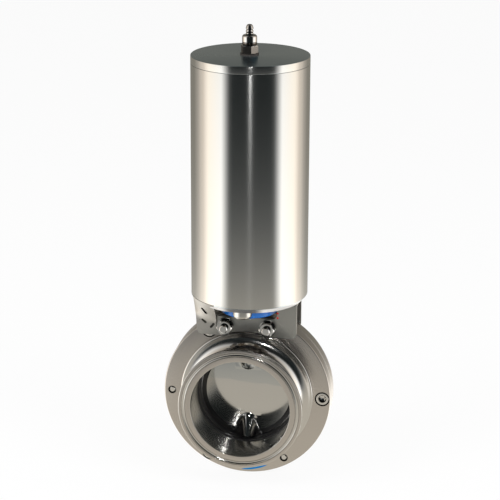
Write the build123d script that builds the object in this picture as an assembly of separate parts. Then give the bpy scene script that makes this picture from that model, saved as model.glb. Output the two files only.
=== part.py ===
from build123d import *

import math
import os

# Pneumatic butterfly valve: a split disc-valve body with clamp ferrules below
# an upright spring-return actuator. Millimetres. The origin is the point where
# the bore axis (Y) crosses the stem axis (Z). The front of the valve is -Y.

# Port, ferrules and neck
port_bore = 72.9
face_land_width = 3.85
gasket_groove_width = 3.1
outer_lip_width = 2.05
ferrule_rim_width = 2.6
ferrule_back_angle = 20.0
ferrule_edge_round = 0.5
face_to_centre = 41.2
neck_wall = 1.65
neck_flare_radius = 8.5

# Split body
half_thickness = 10.4
hub_height = 2.0
hub_flat_width = 1.6
hub_edge_round = 1.0
rim_edge_round = 0.8
joint_chamfer = 0.4
rim_wall = 0.35
hub_to_screw_circle = 6.8

# Body screws, M6 socket head, heads on alternate sides
screw_diameter = 6.0
screw_head_diameter = 10.0
screw_head_height = 6.0
screw_socket_width = 5.0
counterbore_diameter = 11.0
counterbore_depth = 6.3
body_screw_pairs = 3
screw_end_recess = 0.4
screw_edge_chamfer = 0.6

# Seat
seat_bore = 71.2
seat_half_width = 12.3
seat_body_half_width = 9.3
seat_wall = 7.3
seat_step = 4.0
seat_groove_depth = 0.8
seat_groove_half_width = 1.6
seat_groove_offset = 6.6

# Disc and stem
disc_gap = 0.35
disc_centre_thickness = 8.0
disc_edge_thickness = 3.0
disc_bevel_width = 3.6
disc_bevel_thickness = 6.0
disc_flat_radius = 6.0
disc_crown_slope = 0.07
stem_diameter = 12.0
stem_hub_depth = 18.7
stem_hub_width = 27.2
stem_hub_height = 18.2
stem_hub_top_width = 11.0
stem_hub_top_depth = 6.8
stem_hub_edge_depth = 2.4
stem_hub_shoulder = 0.44
stem_square = 9.0
stem_square_length = 13.5
bush_wall = 2.0
upper_bush_length = 12.0
lower_bush_length = 9.0
stem_ring_thickness = 1.9

# Bracket plates between body and actuator
stand_height = 11.35
plate_thickness = 2.6
leg_width = 14.3
window_side_gap = 1.6
window_lip = 6.9
window_corner_radius = 3.0
plate_bottom_margin = 7.5
plate_corner_radius = 4.0
plate_hub_gap = 0.8
plate_tab_depth = 12.0
plate_bend_radius = 2.0
bracket_bolt_spacing = 31.1
bolt_tail = 8.3
washer_diameter = 12.0
washer_thickness = 1.2
nut_width = 10.0
nut_height = 5.0
nut_chamfer = 0.9
bolt_head_height = 4.0
tab_screw_diameter = 5.0
tab_screw_head_width = 8.0
tab_screw_head_height = 3.5
tab_screw_depth = 10.0
tab_screw_inset = 7.3

# Side guard that holds a position switch, at the left front
guard_thickness = 1.6
guard_front_angle = 62.0
guard_rear_angle = 3.0
guard_knee_rise = 6.2
guard_foot_drop = 4.3
guard_washer_gap = 0.45
guard_slot_length = 4.6
guard_slot_width = 1.3
guard_slot_across = 0.55
guard_slot_down = 0.40
guard_slot_tilt = 60.0
guard_screw_diameter = 3.0
guard_screw_head_diameter = 5.4
guard_screw_sink = 1.2
guard_screw_spacing = 6.4
guard_screw_inset = 3.4
guard_screw_rise = 2.8
screwdriver_slot_width = 1.0
screwdriver_slot_depth = 0.7

# Actuator barrel
tube_outer_diameter = 84.6
tube_wall = 2.0
tube_length = 169.6
cover_chamfer = 3.4
rim_step = 0.35
cover_spigot_length = 15.2
cover_boss_height = 2.8
spring_pocket_depth = 4.0
cap_rim_height = 5.7
cap_spigot_length = 10.9
cap_recess_depth = 8.5
cap_edge_round = 0.5
cap_stop_gap = 1.5
static_ring_thickness = 3.0
snap_ring_thickness = 1.5
snap_ring_bite = 0.9
snap_ring_land = 1.1
snap_ring_opening = 16.0

# Cam shaft, its bearing and the indicator ring
shaft_diameter = 24.0
shaft_end_gap = 0.75
sleeve_diameter = 30.0
sleeve_bore = 20.0
sleeve_height = 90.0
collar_diameter = 34.0
collar_height = 4.0
thrust_washer_thickness = 1.5
bearing_wall = 2.45
wiper_height = 3.6
circlip_width = 3.8
circlip_thickness = 1.1
circlip_depth = 1.0
indicator_diameter = 41.6
indicator_rim_wall = 3.0
indicator_web_height = 3.6
indicator_mark_diameter = 2.4
indicator_mark_angle = -12.0
indicator_mark_pitch = 3.6

# Piston, rod and cross pin
piston_travel = 32.0
quarter_turn = 90.0
crown_height = 12.0
crown_web_height = 8.0
piston_gap = 0.3
seal_thickness = 3.3
seal_gap = 0.1
band_width = 2.5
band_thickness = 1.4
ring_margin = 1.0
skirt_cavity_gap = 1.0
guide_rod_diameter = 8.0
skirt_wall_beside_rod = 2.0
rod_engagement = 5.0
rod_end_margin = 2.0
rod_socket_depth = 10.0
rod_tip_chamfer = 0.8
cross_pin_diameter = 8.0
cross_pin_stickout = 0.6
pin_side_gap = 0.15
piston_rod_tail = 10.0
rod_thread_diameter = 10.0
rod_nut_width = 16.0
rod_nut_height = 5.0

# Return spring, of rectangular wire
spring_wire_radial = 6.0
spring_wire_axial = 5.0
spring_turns = 7
spring_end_gap = 0.15

# Vent plug below the actuator
vent_diameter = 13.4
vent_length = 6.8
vent_thread_diameter = 8.0
vent_thread_length = 8.0
vent_outset = 0.35
vent_hole_diameter = 2.4
vent_edge_round = 3.0

# Air fitting on the top cap
fitting_offset_x = -0.6
hex_width = 11.0
hex_height = 5.0
fitting_thread_diameter = 8.0
fitting_thread_length = 7.0
fitting_waist_diameter = 8.6
fitting_waist_height = 1.5
fitting_body_diameter = 10.4
fitting_body_height = 6.6
nipple_diameter = 5.4
nipple_neck_diameter = 4.0
nipple_length = 7.4
nipple_neck_start = 2.6
nipple_neck_length = 1.7
fitting_edge = 0.7
air_passage_diameter = 2.2
sealing_washer_diameter = 13.2
sealing_washer_thickness = 1.0

# Named clearances
fit_gap = 0.05
press_gap = 0.02
seat_gap = 0.05
guide_gap = 0.08
square_gap = 0.1
side_gap = 0.2

# Radii and heights worked out from the sizes above
port_r = port_bore / 2
neck_r = port_r + neck_wall
groove_r = port_r + face_land_width + gasket_groove_width / 2
ferrule_r = port_r + face_land_width + gasket_groove_width + outer_lip_width
hub_r = neck_r + neck_flare_radius + hub_flat_width + hub_edge_round
screw_circle_r = hub_r + hub_to_screw_circle
flange_r = screw_circle_r + counterbore_diameter / 2 + rim_wall
hub_top = half_thickness + hub_height
seat_inner_r = seat_bore / 2
seat_outer_r = seat_inner_r + seat_wall
seat_shoulder_r = seat_outer_r - seat_step
disc_r = seat_inner_r - disc_gap
stem_r = stem_diameter / 2
hub_start = disc_r - stem_hub_height
bush_r = stem_r + fit_gap + bush_wall
bush_hole_r = bush_r + press_gap
upper_bush_top = flange_r - rim_edge_round
upper_bush_bottom = upper_bush_top - upper_bush_length
lower_bush_top = seat_outer_r + seat_gap + rim_edge_round
lower_bush_bottom = lower_bush_top + lower_bush_length

bolt_x = bracket_bolt_spacing / 2
bolt_z = math.sqrt(screw_circle_r**2 - bolt_x**2)
plate_outer_y = half_thickness + plate_thickness
cover_bottom = flange_r + stand_height
indicator_r = indicator_diameter / 2
window_half = indicator_r + window_side_gap
plate_half = window_half + leg_width
plate_bottom = bolt_z - plate_bottom_margin
window_bottom = bolt_z + window_lip
tab_screw_x = window_half + leg_width / 2
tab_screw_y = plate_outer_y - tab_screw_inset
guard_foot_width = plate_half - bolt_x - washer_diameter / 2 - guard_washer_gap

tube_r = tube_outer_diameter / 2
tube_bore_r = tube_r - tube_wall
tube_bottom = cover_bottom + cover_chamfer + rim_step
tube_top = tube_bottom + tube_length
cover_top = tube_bottom + cover_spigot_length
cover_boss_top = cover_top + cover_boss_height
cap_face = tube_top + cap_rim_height
cap_bottom = tube_top - cap_spigot_length
spigot_r = tube_bore_r - fit_gap
static_ring_r = tube_bore_r - press_gap - static_ring_thickness / 2

vent_offset = (indicator_r + tube_r - cover_chamfer) / 2 + vent_outset

shaft_r = shaft_diameter / 2
bearing_r = shaft_r + fit_gap + bearing_wall
shaft_bottom = flange_r + shaft_end_gap
collar_bottom = cover_boss_top + thrust_washer_thickness
collar_top = collar_bottom + collar_height
sleeve_r = sleeve_diameter / 2
sleeve_top = collar_top + sleeve_height

piston_top = cap_bottom - cap_stop_gap
crown_bottom = piston_top - crown_height
cavity_top = piston_top - crown_web_height
cavity_r = sleeve_r + skirt_cavity_gap
guide_rod_r = guide_rod_diameter / 2
guide_rod_x = cavity_r + skirt_wall_beside_rod + guide_rod_r
skirt_r = guide_rod_x + guide_rod_r + skirt_wall_beside_rod
spring_mean_r = (skirt_r + tube_bore_r) / 2
spring_outer_r = spring_mean_r + spring_wire_radial / 2
spring_inner_r = spring_mean_r - spring_wire_radial / 2
skirt_bottom = sleeve_top + rod_end_margin
guide_rod_top = skirt_bottom + rod_engagement
guide_hole_top = guide_rod_top + piston_travel + rod_end_margin
spring_floor = cover_top - spring_pocket_depth
piston_rod_r = sleeve_bore / 2 - fit_gap
pin_r = cross_pin_diameter / 2
pin_z = sleeve_top - cross_pin_diameter - rod_end_margin
rod_bottom = pin_z - piston_rod_tail
sleeve_floor = rod_bottom - piston_travel - 2 * rod_end_margin


def closed_outline(*edges):
    """Flat face inside a closed chain of lines and arcs."""
    return make_face(Curve() + list(edges))


def turned(*points):
    """Ring turned about the stem axis from (radius, height) corners."""
    return revolve(Plane.XZ * make_face(Polyline(*points, close=True)), Axis.Z)


def turned_about_bore(*points):
    """Ring turned about the bore axis from (radius, y) corners."""
    return revolve(make_face(Polyline(*points, close=True)), Axis.Y)


def bar_z(radius, low, high, x=0.0, y=0.0):
    """Round bar parallel to the stem."""
    return Pos(x, y, (low + high) / 2) * Cylinder(radius, high - low)


def bar_y(radius, low, high, x=0.0, z=0.0):
    """Round bar parallel to the bore."""
    return Pos(x, (low + high) / 2, z) * Rot(90, 0, 0) * Cylinder(radius, high - low)


def hexagon_bar(width, height, chamfer):
    """Hexagonal bar standing on the XY plane, its corners turned down at both ends."""
    corner_r = width / math.sqrt(3)
    block = extrude(RegularPolygon(corner_r, 6), height)
    face_r = width / 2
    drop = min(chamfer, height / 3)
    trim = turned(
        (0, 0),
        (face_r, 0),
        (corner_r, drop),
        (corner_r, height - drop),
        (face_r, height),
        (0, height),
    )
    return block & trim


def o_ring(centre_r, thickness, z):
    """Round-section sealing ring about the stem axis."""
    return Pos(0, 0, z) * Torus(centre_r, thickness / 2)


def open_ring(inner_r, outer_r, low, high, opening, angle=90.0):
    """Flat ring with a gap, as a retaining ring has."""
    ring = turned((inner_r, low), (outer_r, low), (outer_r, high), (inner_r, high))
    gap = Pos(outer_r, 0, (low + high) / 2) * Box(2 * outer_r, opening, 2 * (high - low))
    return ring - Rot(0, 0, angle) * gap


def screw_angles(first):
    """Angles of the alternate body screws on their circle."""
    return [first + 360.0 / body_screw_pairs * i for i in range(body_screw_pairs)]


def on_screw_circle(angle):
    """X and Z of a point on the body screw circle."""
    turn = math.radians(angle)
    return screw_circle_r * math.cos(turn), screw_circle_r * math.sin(turn)


def body_half():
    """One body casting, front side: flange, hub, flared neck, ferrule and seat pocket."""
    back_slope = (ferrule_r - neck_r) * math.tan(math.radians(ferrule_back_angle))
    rim_back = face_to_centre - ferrule_rim_width
    flare_end = hub_top + neck_flare_radius
    groove_half = gasket_groove_width / 2
    bend = math.sqrt(0.5)
    pocket_r = seat_outer_r + seat_gap
    pocket_depth = seat_body_half_width + seat_gap
    shoulder_r = seat_shoulder_r + seat_gap
    shoulder_depth = seat_half_width + seat_gap
    flange_side = Polyline(
        (pocket_r, 0),
        (flange_r - joint_chamfer, 0),
        (flange_r, -joint_chamfer),
        (flange_r, rim_edge_round - half_thickness),
    )
    rim_centre = (flange_r - rim_edge_round, rim_edge_round - half_thickness)
    rim_arc = CenterArc(rim_centre, rim_edge_round, 0, -90)
    flange_face = Polyline(
        (flange_r - rim_edge_round, -half_thickness),
        (hub_r, -half_thickness),
        (hub_r, hub_edge_round - hub_top),
    )
    hub_arc = CenterArc((hub_r - hub_edge_round, hub_edge_round - hub_top), hub_edge_round, 0, -90)
    hub_face = Line((hub_r - hub_edge_round, -hub_top), (neck_r + neck_flare_radius, -hub_top))
    flare = ThreePointArc(
        (neck_r + neck_flare_radius, -hub_top),
        (neck_r + neck_flare_radius * (1 - bend), -flare_end + neck_flare_radius * bend),
        (neck_r, -flare_end),
    )
    neck = Polyline(
        (neck_r, -flare_end),
        (neck_r, -rim_back + back_slope),
        (ferrule_r, -rim_back),
        (ferrule_r, ferrule_edge_round - face_to_centre),
    )
    lip_centre = (ferrule_r - ferrule_edge_round, ferrule_edge_round - face_to_centre)
    lip_arc = CenterArc(lip_centre, ferrule_edge_round, 0, -90)
    lip = Line((ferrule_r - ferrule_edge_round, -face_to_centre), (groove_r + groove_half, -face_to_centre))
    groove = ThreePointArc(
        (groove_r + groove_half, -face_to_centre),
        (groove_r, groove_half - face_to_centre),
        (groove_r - groove_half, -face_to_centre),
    )
    inside = Polyline(
        (groove_r - groove_half, -face_to_centre),
        (port_r, -face_to_centre),
        (port_r, -shoulder_depth),
        (shoulder_r, -shoulder_depth),
        (shoulder_r, -pocket_depth),
        (pocket_r, -pocket_depth),
        (pocket_r, 0),
    )
    outline = closed_outline(
        flange_side, rim_arc, flange_face, hub_arc, hub_face, flare, neck, lip_arc, lip, groove, inside
    )
    half = revolve(outline, Axis.Y)
    half -= bar_z(bush_hole_r, seat_inner_r, flange_r + rim_wall)
    half -= bar_z(bush_hole_r, -lower_bush_bottom - press_gap, -seat_inner_r)
    floor = counterbore_depth - half_thickness
    for angle in screw_angles(0.0):
        x, z = on_screw_circle(angle)
        half -= bar_y(counterbore_diameter / 2, -half_thickness, floor, x, z)
        half -= bar_y(screw_diameter / 2 + side_gap, floor, 0, x, z)
    for angle in screw_angles(180.0 / body_screw_pairs):
        x, z = on_screw_circle(angle)
        half -= bar_y(screw_diameter / 2 + press_gap, -half_thickness, 0, x, z)
    for x in (-bolt_x, bolt_x):
        half -= bar_y(screw_diameter / 2 + side_gap, -half_thickness, 0, x, bolt_z)
    return half


def body_screw():
    """Socket-head screw along +Z, the underside of its head on the XY plane."""
    radius = screw_diameter / 2
    head_r = screw_head_diameter / 2
    length = 2 * half_thickness - counterbore_depth - screw_end_recess
    screw = turned(
        (0, -screw_head_height),
        (head_r - screw_edge_chamfer, -screw_head_height),
        (head_r, screw_edge_chamfer - screw_head_height),
        (head_r, 0),
        (radius, 0),
        (radius, length - screw_edge_chamfer),
        (radius - screw_edge_chamfer, length),
        (0, length),
    )
    socket = extrude(RegularPolygon(screw_socket_width / math.sqrt(3), 6), screw_head_height / 2)
    return screw - Pos(0, 0, -screw_head_height) * socket


def body_screws(side_turn):
    """The body screws that go in from one side, the front when side_turn is 0."""
    place = Pos(0, counterbore_depth - half_thickness, 0) * Rot(-90, 0, 0)
    screws = []
    for angle in screw_angles(0.0):
        x, z = on_screw_circle(angle)
        screws.append(Rot(0, 0, side_turn) * Pos(x, 0, z) * place * body_screw())
    return Compound(children=screws)


def seat():
    """Rubber seat ring with sealing ribs, clamped between the body halves."""
    deep_r = seat_inner_r + seat_groove_depth
    near = seat_groove_offset - seat_groove_half_width
    far = seat_groove_offset + seat_groove_half_width
    half_side = [
        (seat_inner_r, near),
        (deep_r, seat_groove_offset),
        (seat_inner_r, far),
        (seat_inner_r, seat_half_width - seat_groove_depth),
        (deep_r, seat_half_width),
        (seat_shoulder_r, seat_half_width),
        (seat_shoulder_r, seat_body_half_width),
        (seat_outer_r, seat_body_half_width),
    ]
    other_side = [(radius, -y) for radius, y in reversed(half_side)]
    ring = turned_about_bore(*half_side, *other_side)
    return ring - bar_z(stem_r + square_gap, -seat_outer_r - 1, seat_outer_r + 1)


def disc():
    """Closing disc with flared stem hubs, its two stems and the drive square."""
    mid = disc_centre_thickness / 2
    bevel_r = disc_r - disc_bevel_width
    bevel_y = disc_bevel_thickness / 2
    edge_y = disc_edge_thickness / 2
    edge_r = math.sqrt(disc_r**2 - edge_y**2)
    crown = Spline(
        (disc_flat_radius, mid), (bevel_r, bevel_y), tangents=[(1, 0), (1, -disc_crown_slope)]
    )
    outline = closed_outline(
        Line((0, mid), (disc_flat_radius, mid)),
        crown,
        Line((bevel_r, bevel_y), (edge_r, edge_y)),
        ThreePointArc((edge_r, edge_y), (disc_r, 0), (edge_r, -edge_y)),
        Line((edge_r, -edge_y), (bevel_r, -bevel_y)),
        mirror(crown, Plane.XZ),
        Line((disc_flat_radius, -mid), (0, -mid)),
        Line((0, -mid), (0, mid)),
    )
    plate = revolve(outline, Axis.Y)
    upper = stem_and_hub(shaft_bottom + stem_square_length)
    around = Box(2 * stem_diameter, 2 * stem_diameter, stem_square_length)
    around -= Box(stem_square, stem_square, stem_square_length)
    upper -= Pos(0, 0, shaft_bottom + stem_square_length / 2) * around
    lower = stem_and_hub(lower_bush_bottom - side_gap)
    return plate + upper + Rot(180, 0, 0) * lower


def hub_section(z, width, depth, edge_depth):
    """Cross-section of a stem hub: a bell on each face of the disc, thin at both ends."""
    side = width / 2
    shoulder = side * stem_hub_shoulder
    edge = edge_depth / 2
    half_way = (depth + edge_depth) / 4
    bell = Spline(
        (-side, -edge),
        (-shoulder, -half_way),
        (0, -depth / 2),
        (shoulder, -half_way),
        (side, -edge),
        tangents=[(1, 0), (1, 0)],
    )
    end = Line((side, -edge), (side, edge))
    other_end = Line((-side, edge), (-side, -edge))
    return Pos(0, 0, z) * closed_outline(bell, end, mirror(bell, Plane.XZ), other_end)


def stem_and_hub(stem_end):
    """Bell-shaped hub that swells from the disc face towards the rim, and its stem."""
    top = hub_section(hub_start, stem_hub_top_width, stem_hub_top_depth, stem_hub_top_depth)
    rim = hub_section(disc_r, stem_hub_width, stem_hub_depth, stem_hub_edge_depth)
    hub = loft([top, rim], ruled=True) & Sphere(disc_r)
    return hub + bar_z(stem_r, disc_r - stem_r, stem_end)


def upper_stem_bush():
    """Plastic bush round the upper stem, at the top of the flange."""
    return turned(
        (stem_r + fit_gap, upper_bush_bottom),
        (bush_r, upper_bush_bottom),
        (bush_r, upper_bush_top),
        (stem_r + fit_gap, upper_bush_top),
    )


def lower_stem_bush():
    """Plastic bush in the blind hole below the disc."""
    return turned(
        (stem_r + fit_gap, -lower_bush_bottom),
        (bush_r, -lower_bush_bottom),
        (bush_r, -lower_bush_top),
        (stem_r + fit_gap, -lower_bush_top),
    )


def stem_o_ring():
    """Sealing ring in the stem hole, just under the upper bush."""
    centre = stem_r + fit_gap + stem_ring_thickness / 2
    return o_ring(centre, stem_ring_thickness, upper_bush_bottom - stem_ring_thickness / 2)


def bracket_plate():
    """Front bracket plate: a flat sheet with a window, its two legs bent in under the actuator."""
    top = cover_bottom
    outline = Plane.XZ * (
        Pos(0, (plate_bottom + top) / 2) * Rectangle(2 * plate_half, top - plate_bottom)
        - Pos(0, window_bottom + top / 2) * Rectangle(2 * window_half, top)
        - Circle(hub_r + plate_hub_gap)
        - Locations((-bolt_x, bolt_z), (bolt_x, bolt_z)) * Circle(screw_diameter / 2 + side_gap)
    )
    sheet = Pos(0, -half_thickness, 0) * extrude(outline, plate_thickness)
    low_corners = sheet.edges().filter_by(Axis.Y).group_by(Axis.Z)[0]
    outer_corners = low_corners.sort_by(Axis.X)
    sheet = fillet([outer_corners[0], outer_corners[-1]], plate_corner_radius)
    window_corners = [
        edge
        for edge in sheet.edges().filter_by(Axis.Y)
        if abs(edge.center().Z - window_bottom) < 0.01 and abs(abs(edge.center().X) - window_half) < 0.01
    ]
    sheet = fillet(window_corners, window_corner_radius)
    for side in (-1, 1):
        tab = Box(leg_width, plate_tab_depth, plate_thickness)
        tab = Pos(side * tab_screw_x, plate_tab_depth / 2 - plate_outer_y, top - plate_thickness / 2) * tab
        sheet += tab
        hole_r = tab_screw_diameter / 2 + side_gap
        sheet -= bar_z(hole_r, top - 2 * plate_thickness, top + 1, side * tab_screw_x, -tab_screw_y)
    bends = [
        edge
        for edge in sheet.edges().filter_by(Axis.X)
        if abs(edge.center().Y + plate_outer_y) < 0.01 and abs(edge.center().Z - top) < 0.01
    ]
    return fillet(bends, plate_bend_radius)


def front_bracket_plate():
    """Front bracket plate with tapped holes for the guard screws."""
    plate = bracket_plate()
    for x, z in guard_screw_places():
        plate -= bar_y(guard_screw_diameter / 2 + press_gap, -plate_outer_y, -half_thickness, x, z)
    return plate


def bracket_bolts():
    """Hexagon bolts through both plates and the body, put in from behind."""
    bolts = []
    for x in (-bolt_x, bolt_x):
        seat_y = plate_outer_y + washer_thickness
        tip_y = -plate_outer_y - washer_thickness - bolt_tail
        shank = bar_y(screw_diameter / 2, tip_y, seat_y, x, bolt_z)
        tip = shank.edges().filter_by(GeomType.CIRCLE).sort_by(Axis.Y)[0]
        shank = chamfer(tip, screw_edge_chamfer)
        head = Pos(x, seat_y, bolt_z) * Rot(-90, 0, 0) * hexagon_bar(nut_width, bolt_head_height, nut_chamfer)
        bolts.append(shank + head)
    return Compound(children=bolts)


def bracket_nuts():
    """Hexagon nuts on the front ends of the bracket bolts."""
    nuts = []
    for x in (-bolt_x, bolt_x):
        nut = hexagon_bar(nut_width, nut_height, nut_chamfer)
        nut -= bar_z(screw_diameter / 2 + press_gap, -1, nut_height + 1)
        nuts.append(Pos(x, -plate_outer_y - washer_thickness, bolt_z) * Rot(90, 0, 0) * nut)
    return Compound(children=nuts)


def bracket_washers():
    """Flat washers under the bolt heads and the nuts."""
    washers = []
    for x in (-bolt_x, bolt_x):
        for low in (-plate_outer_y - washer_thickness, plate_outer_y):
            washer = bar_y(washer_diameter / 2, low, low + washer_thickness, x, bolt_z)
            hole = bar_y(screw_diameter / 2 + side_gap, low - 1, low + washer_thickness + 1, x, bolt_z)
            washers.append(washer - hole)
    return Compound(children=washers)


def bracket_fixing_screws():
    """Hexagon screws that hold the bracket tabs up against the bottom cover."""
    screws = []
    head_top = cover_bottom - plate_thickness
    for x in (-tab_screw_x, tab_screw_x):
        for y in (-tab_screw_y, tab_screw_y):
            head = hexagon_bar(tab_screw_head_width, tab_screw_head_height, screw_edge_chamfer)
            head = Pos(x, y, head_top - tab_screw_head_height) * head
            shank = bar_z(tab_screw_diameter / 2, head_top, cover_bottom + tab_screw_depth, x, y)
            screws.append(head + shank)
    return Compound(children=screws)


def actuator_tube():
    """Barrel of the actuator, with a snap ring groove near each end."""
    tube = turned(
        (tube_bore_r, tube_bottom),
        (tube_r - rim_step, tube_bottom),
        (tube_r, tube_bottom + rim_step),
        (tube_r, tube_top - rim_step),
        (tube_r - rim_step, tube_top),
        (tube_bore_r, tube_top),
    )
    for low in (cover_ring_z(), cap_ring_z()):
        tube -= turned(
            (tube_bore_r - 1, low - press_gap),
            (tube_bore_r + snap_ring_bite + press_gap, low - press_gap),
            (tube_bore_r + snap_ring_bite + press_gap, low + snap_ring_thickness + press_gap),
            (tube_bore_r - 1, low + snap_ring_thickness + press_gap),
        )
    return tube


def cover_ring_z():
    """Lower face of the snap ring that holds the bottom cover."""
    return cover_top - spring_pocket_depth - ring_margin - snap_ring_thickness


def cap_ring_z():
    """Lower face of the snap ring that holds the top cap."""
    return cap_bottom + ring_margin + snap_ring_land


def snap_ring(low):
    """Wire ring that sits half in the tube and half in a cover."""
    inner = tube_bore_r - snap_ring_land
    outer = tube_bore_r + snap_ring_bite
    return open_ring(inner, outer, low, low + snap_ring_thickness, snap_ring_opening)


def static_ring_groove(low):
    """Ring cut for a sealing ring in a spigot."""
    depth_r = tube_bore_r - static_ring_thickness - 2 * press_gap
    high = low + static_ring_thickness + 2 * press_gap
    return turned((depth_r, low), (tube_r, low), (tube_r, high), (depth_r, high))


def snap_ring_groove(low):
    """Ring cut for a snap ring in a spigot."""
    inner = tube_bore_r - snap_ring_land - press_gap
    high = low + snap_ring_thickness + press_gap
    return turned((inner, low - press_gap), (tube_r, low - press_gap), (tube_r, high), (inner, high))


def bottom_cover():
    """Bottom cover: chamfered rim, spigot in the tube, bearing boss and spring pocket."""
    edge = tube_bottom - cover_chamfer - rim_step
    cover = turned(
        (bearing_r + press_gap, cover_bottom),
        (tube_r - cover_chamfer, edge),
        (tube_r - rim_step, tube_bottom - rim_step),
        (tube_r - rim_step, tube_bottom),
        (spigot_r, tube_bottom),
        (spigot_r, cover_top),
        (sleeve_r + bearing_wall, cover_top),
        (sleeve_r + bearing_wall, cover_boss_top),
        (bearing_r + press_gap, cover_boss_top),
    )
    cover -= turned(
        (spring_inner_r - side_gap, spring_floor),
        (spring_outer_r + side_gap, spring_floor),
        (spring_outer_r + side_gap, cover_top + 1),
        (spring_inner_r - side_gap, cover_top + 1),
    )
    cover -= static_ring_groove(cover_seal_z() - static_ring_thickness / 2 - press_gap)
    cover -= snap_ring_groove(cover_ring_z())
    for x in (-tab_screw_x, tab_screw_x):
        for y in (-tab_screw_y, tab_screw_y):
            hole_r = tab_screw_diameter / 2 + press_gap
            cover -= bar_z(hole_r, cover_bottom, cover_bottom + tab_screw_depth + 1, x, y)
    for x in (-guide_rod_x, guide_rod_x):
        cover -= bar_z(guide_rod_r + press_gap, cover_top - rod_socket_depth, cover_top, x)
    thread_top = cover_bottom + vent_thread_length + 1
    cover -= bar_z(vent_thread_diameter / 2 + press_gap, cover_bottom, thread_top, 0, -vent_offset)
    cover -= bar_z(vent_hole_diameter / 2, cover_bottom, cover_top, 0, -vent_offset)
    return cover


def cover_seal_z():
    """Middle height of the bottom cover's sealing ring."""
    return tube_bottom + ring_margin + static_ring_thickness / 2 + press_gap


def cap_seal_z():
    """Middle height of the top cap's sealing ring."""
    return tube_top - ring_margin - static_ring_thickness / 2 - press_gap


def top_cap():
    """Top cap: flat lid with a spigot, a recess over the piston nut and the air inlet."""
    recess_r = rod_nut_width / math.sqrt(3) + 2 * ring_margin
    recess_top = cap_bottom + cap_recess_depth
    cap = turned(
        (0, recess_top),
        (recess_r, recess_top),
        (recess_r, cap_bottom),
        (spigot_r, cap_bottom),
        (spigot_r, tube_top),
        (tube_r - rim_step, tube_top),
        (tube_r - rim_step, tube_top + rim_step),
        (tube_r, tube_top + 2 * rim_step),
        (tube_r, cap_face - cap_edge_round),
        (tube_r - cap_edge_round, cap_face),
        (0, cap_face),
    )
    cap -= static_ring_groove(cap_seal_z() - static_ring_thickness / 2 - press_gap)
    cap -= snap_ring_groove(cap_ring_z())
    return cap - bar_z(fitting_thread_diameter / 2 + press_gap, recess_top - 1, cap_face, fitting_offset_x)


def sealing_washer():
    """Flat washer under the hexagon of the air fitting."""
    hole_r = fitting_thread_diameter / 2 + side_gap
    ring = bar_z(sealing_washer_diameter / 2, cap_face, cap_face + sealing_washer_thickness, fitting_offset_x)
    return ring - bar_z(hole_r, cap_face - 1, cap_face + sealing_washer_thickness + 1, fitting_offset_x)


def fitting_base():
    """Hexagon base of the air fitting, screwed into the cap."""
    hex_bottom = cap_face + sealing_washer_thickness
    waist_bottom = hex_bottom + hex_height
    waist_top = waist_bottom + fitting_waist_height
    thread_bottom = hex_bottom - fitting_thread_length
    base = Pos(0, 0, hex_bottom) * hexagon_bar(hex_width, hex_height, fitting_edge)
    base += bar_z(fitting_thread_diameter / 2, thread_bottom, hex_bottom)
    base += bar_z(fitting_waist_diameter / 2, waist_bottom, waist_top)
    base -= bar_z(air_passage_diameter / 2, thread_bottom - 1, waist_top + 1)
    return Pos(fitting_offset_x, 0, 0) * base


def air_nipple():
    """Plug nipple for a quick coupler: round body, grooved neck and rounded tip."""
    low = cap_face + sealing_washer_thickness + hex_height + fitting_waist_height
    body_top = low + fitting_body_height
    tip = body_top + nipple_length
    body_r = fitting_body_diameter / 2
    neck_radius = nipple_neck_diameter / 2
    head_r = nipple_diameter / 2
    slope = head_r - neck_radius
    neck_low = body_top + nipple_neck_start
    neck_high = neck_low + nipple_neck_length
    passage_r = air_passage_diameter / 2
    return Pos(fitting_offset_x, 0, 0) * turned(
        (passage_r, low),
        (body_r - fitting_edge, low),
        (body_r, low + fitting_edge),
        (body_r, body_top - 2 * fitting_edge),
        (body_r - 2 * fitting_edge, body_top),
        (head_r, body_top),
        (head_r, neck_low - slope),
        (neck_radius, neck_low),
        (neck_radius, neck_high),
        (head_r, neck_high + slope),
        (head_r, tip - fitting_edge),
        (head_r - fitting_edge, tip),
        (passage_r, tip),
    )


def vent_plug():
    """Breather plug hanging from the bottom cover, with a rounded lower edge."""
    radius = vent_diameter / 2
    body = bar_z(radius, cover_bottom - vent_length, cover_bottom)
    body = fillet(body.edges().sort_by(Axis.Z)[0], vent_edge_round)
    body += bar_z(vent_thread_diameter / 2, cover_bottom, cover_bottom + vent_thread_length)
    hole_bottom = cover_bottom - vent_length - 1
    body -= bar_z(vent_hole_diameter / 2, hole_bottom, cover_bottom + vent_thread_length + 1)
    return Pos(0, -vent_offset, 0) * body


def guard_top(across, radius):
    """Point on the guard's upper edge, across it from its rear end (0) to its front end (1)."""
    turn = math.radians(180 + guard_rear_angle + across * (guard_front_angle - guard_rear_angle))
    return Vector(radius * math.cos(turn), radius * math.sin(turn), tube_bottom - rim_step)


def guard_foot(across, depth):
    """Point on the bend where the guard meets its foot, depth behind its outer face."""
    x = across * guard_foot_width - plate_half
    return Vector(x, depth - plate_outer_y - guard_thickness, bolt_z + guard_knee_rise)


def guard_face(across, down):
    """Plane on the guard's outer face, between its upper edge (0) and its foot (1)."""
    step = 0.01
    here = guard_top(across, tube_r) * (1 - down) + guard_foot(across, 0) * down
    beside = guard_top(across + step, tube_r) * (1 - down) + guard_foot(across + step, 0) * down
    below = guard_foot(across, 0) - guard_top(across, tube_r)
    return Plane(origin=here, x_dir=beside - here, z_dir=(beside - here).cross(below))


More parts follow.
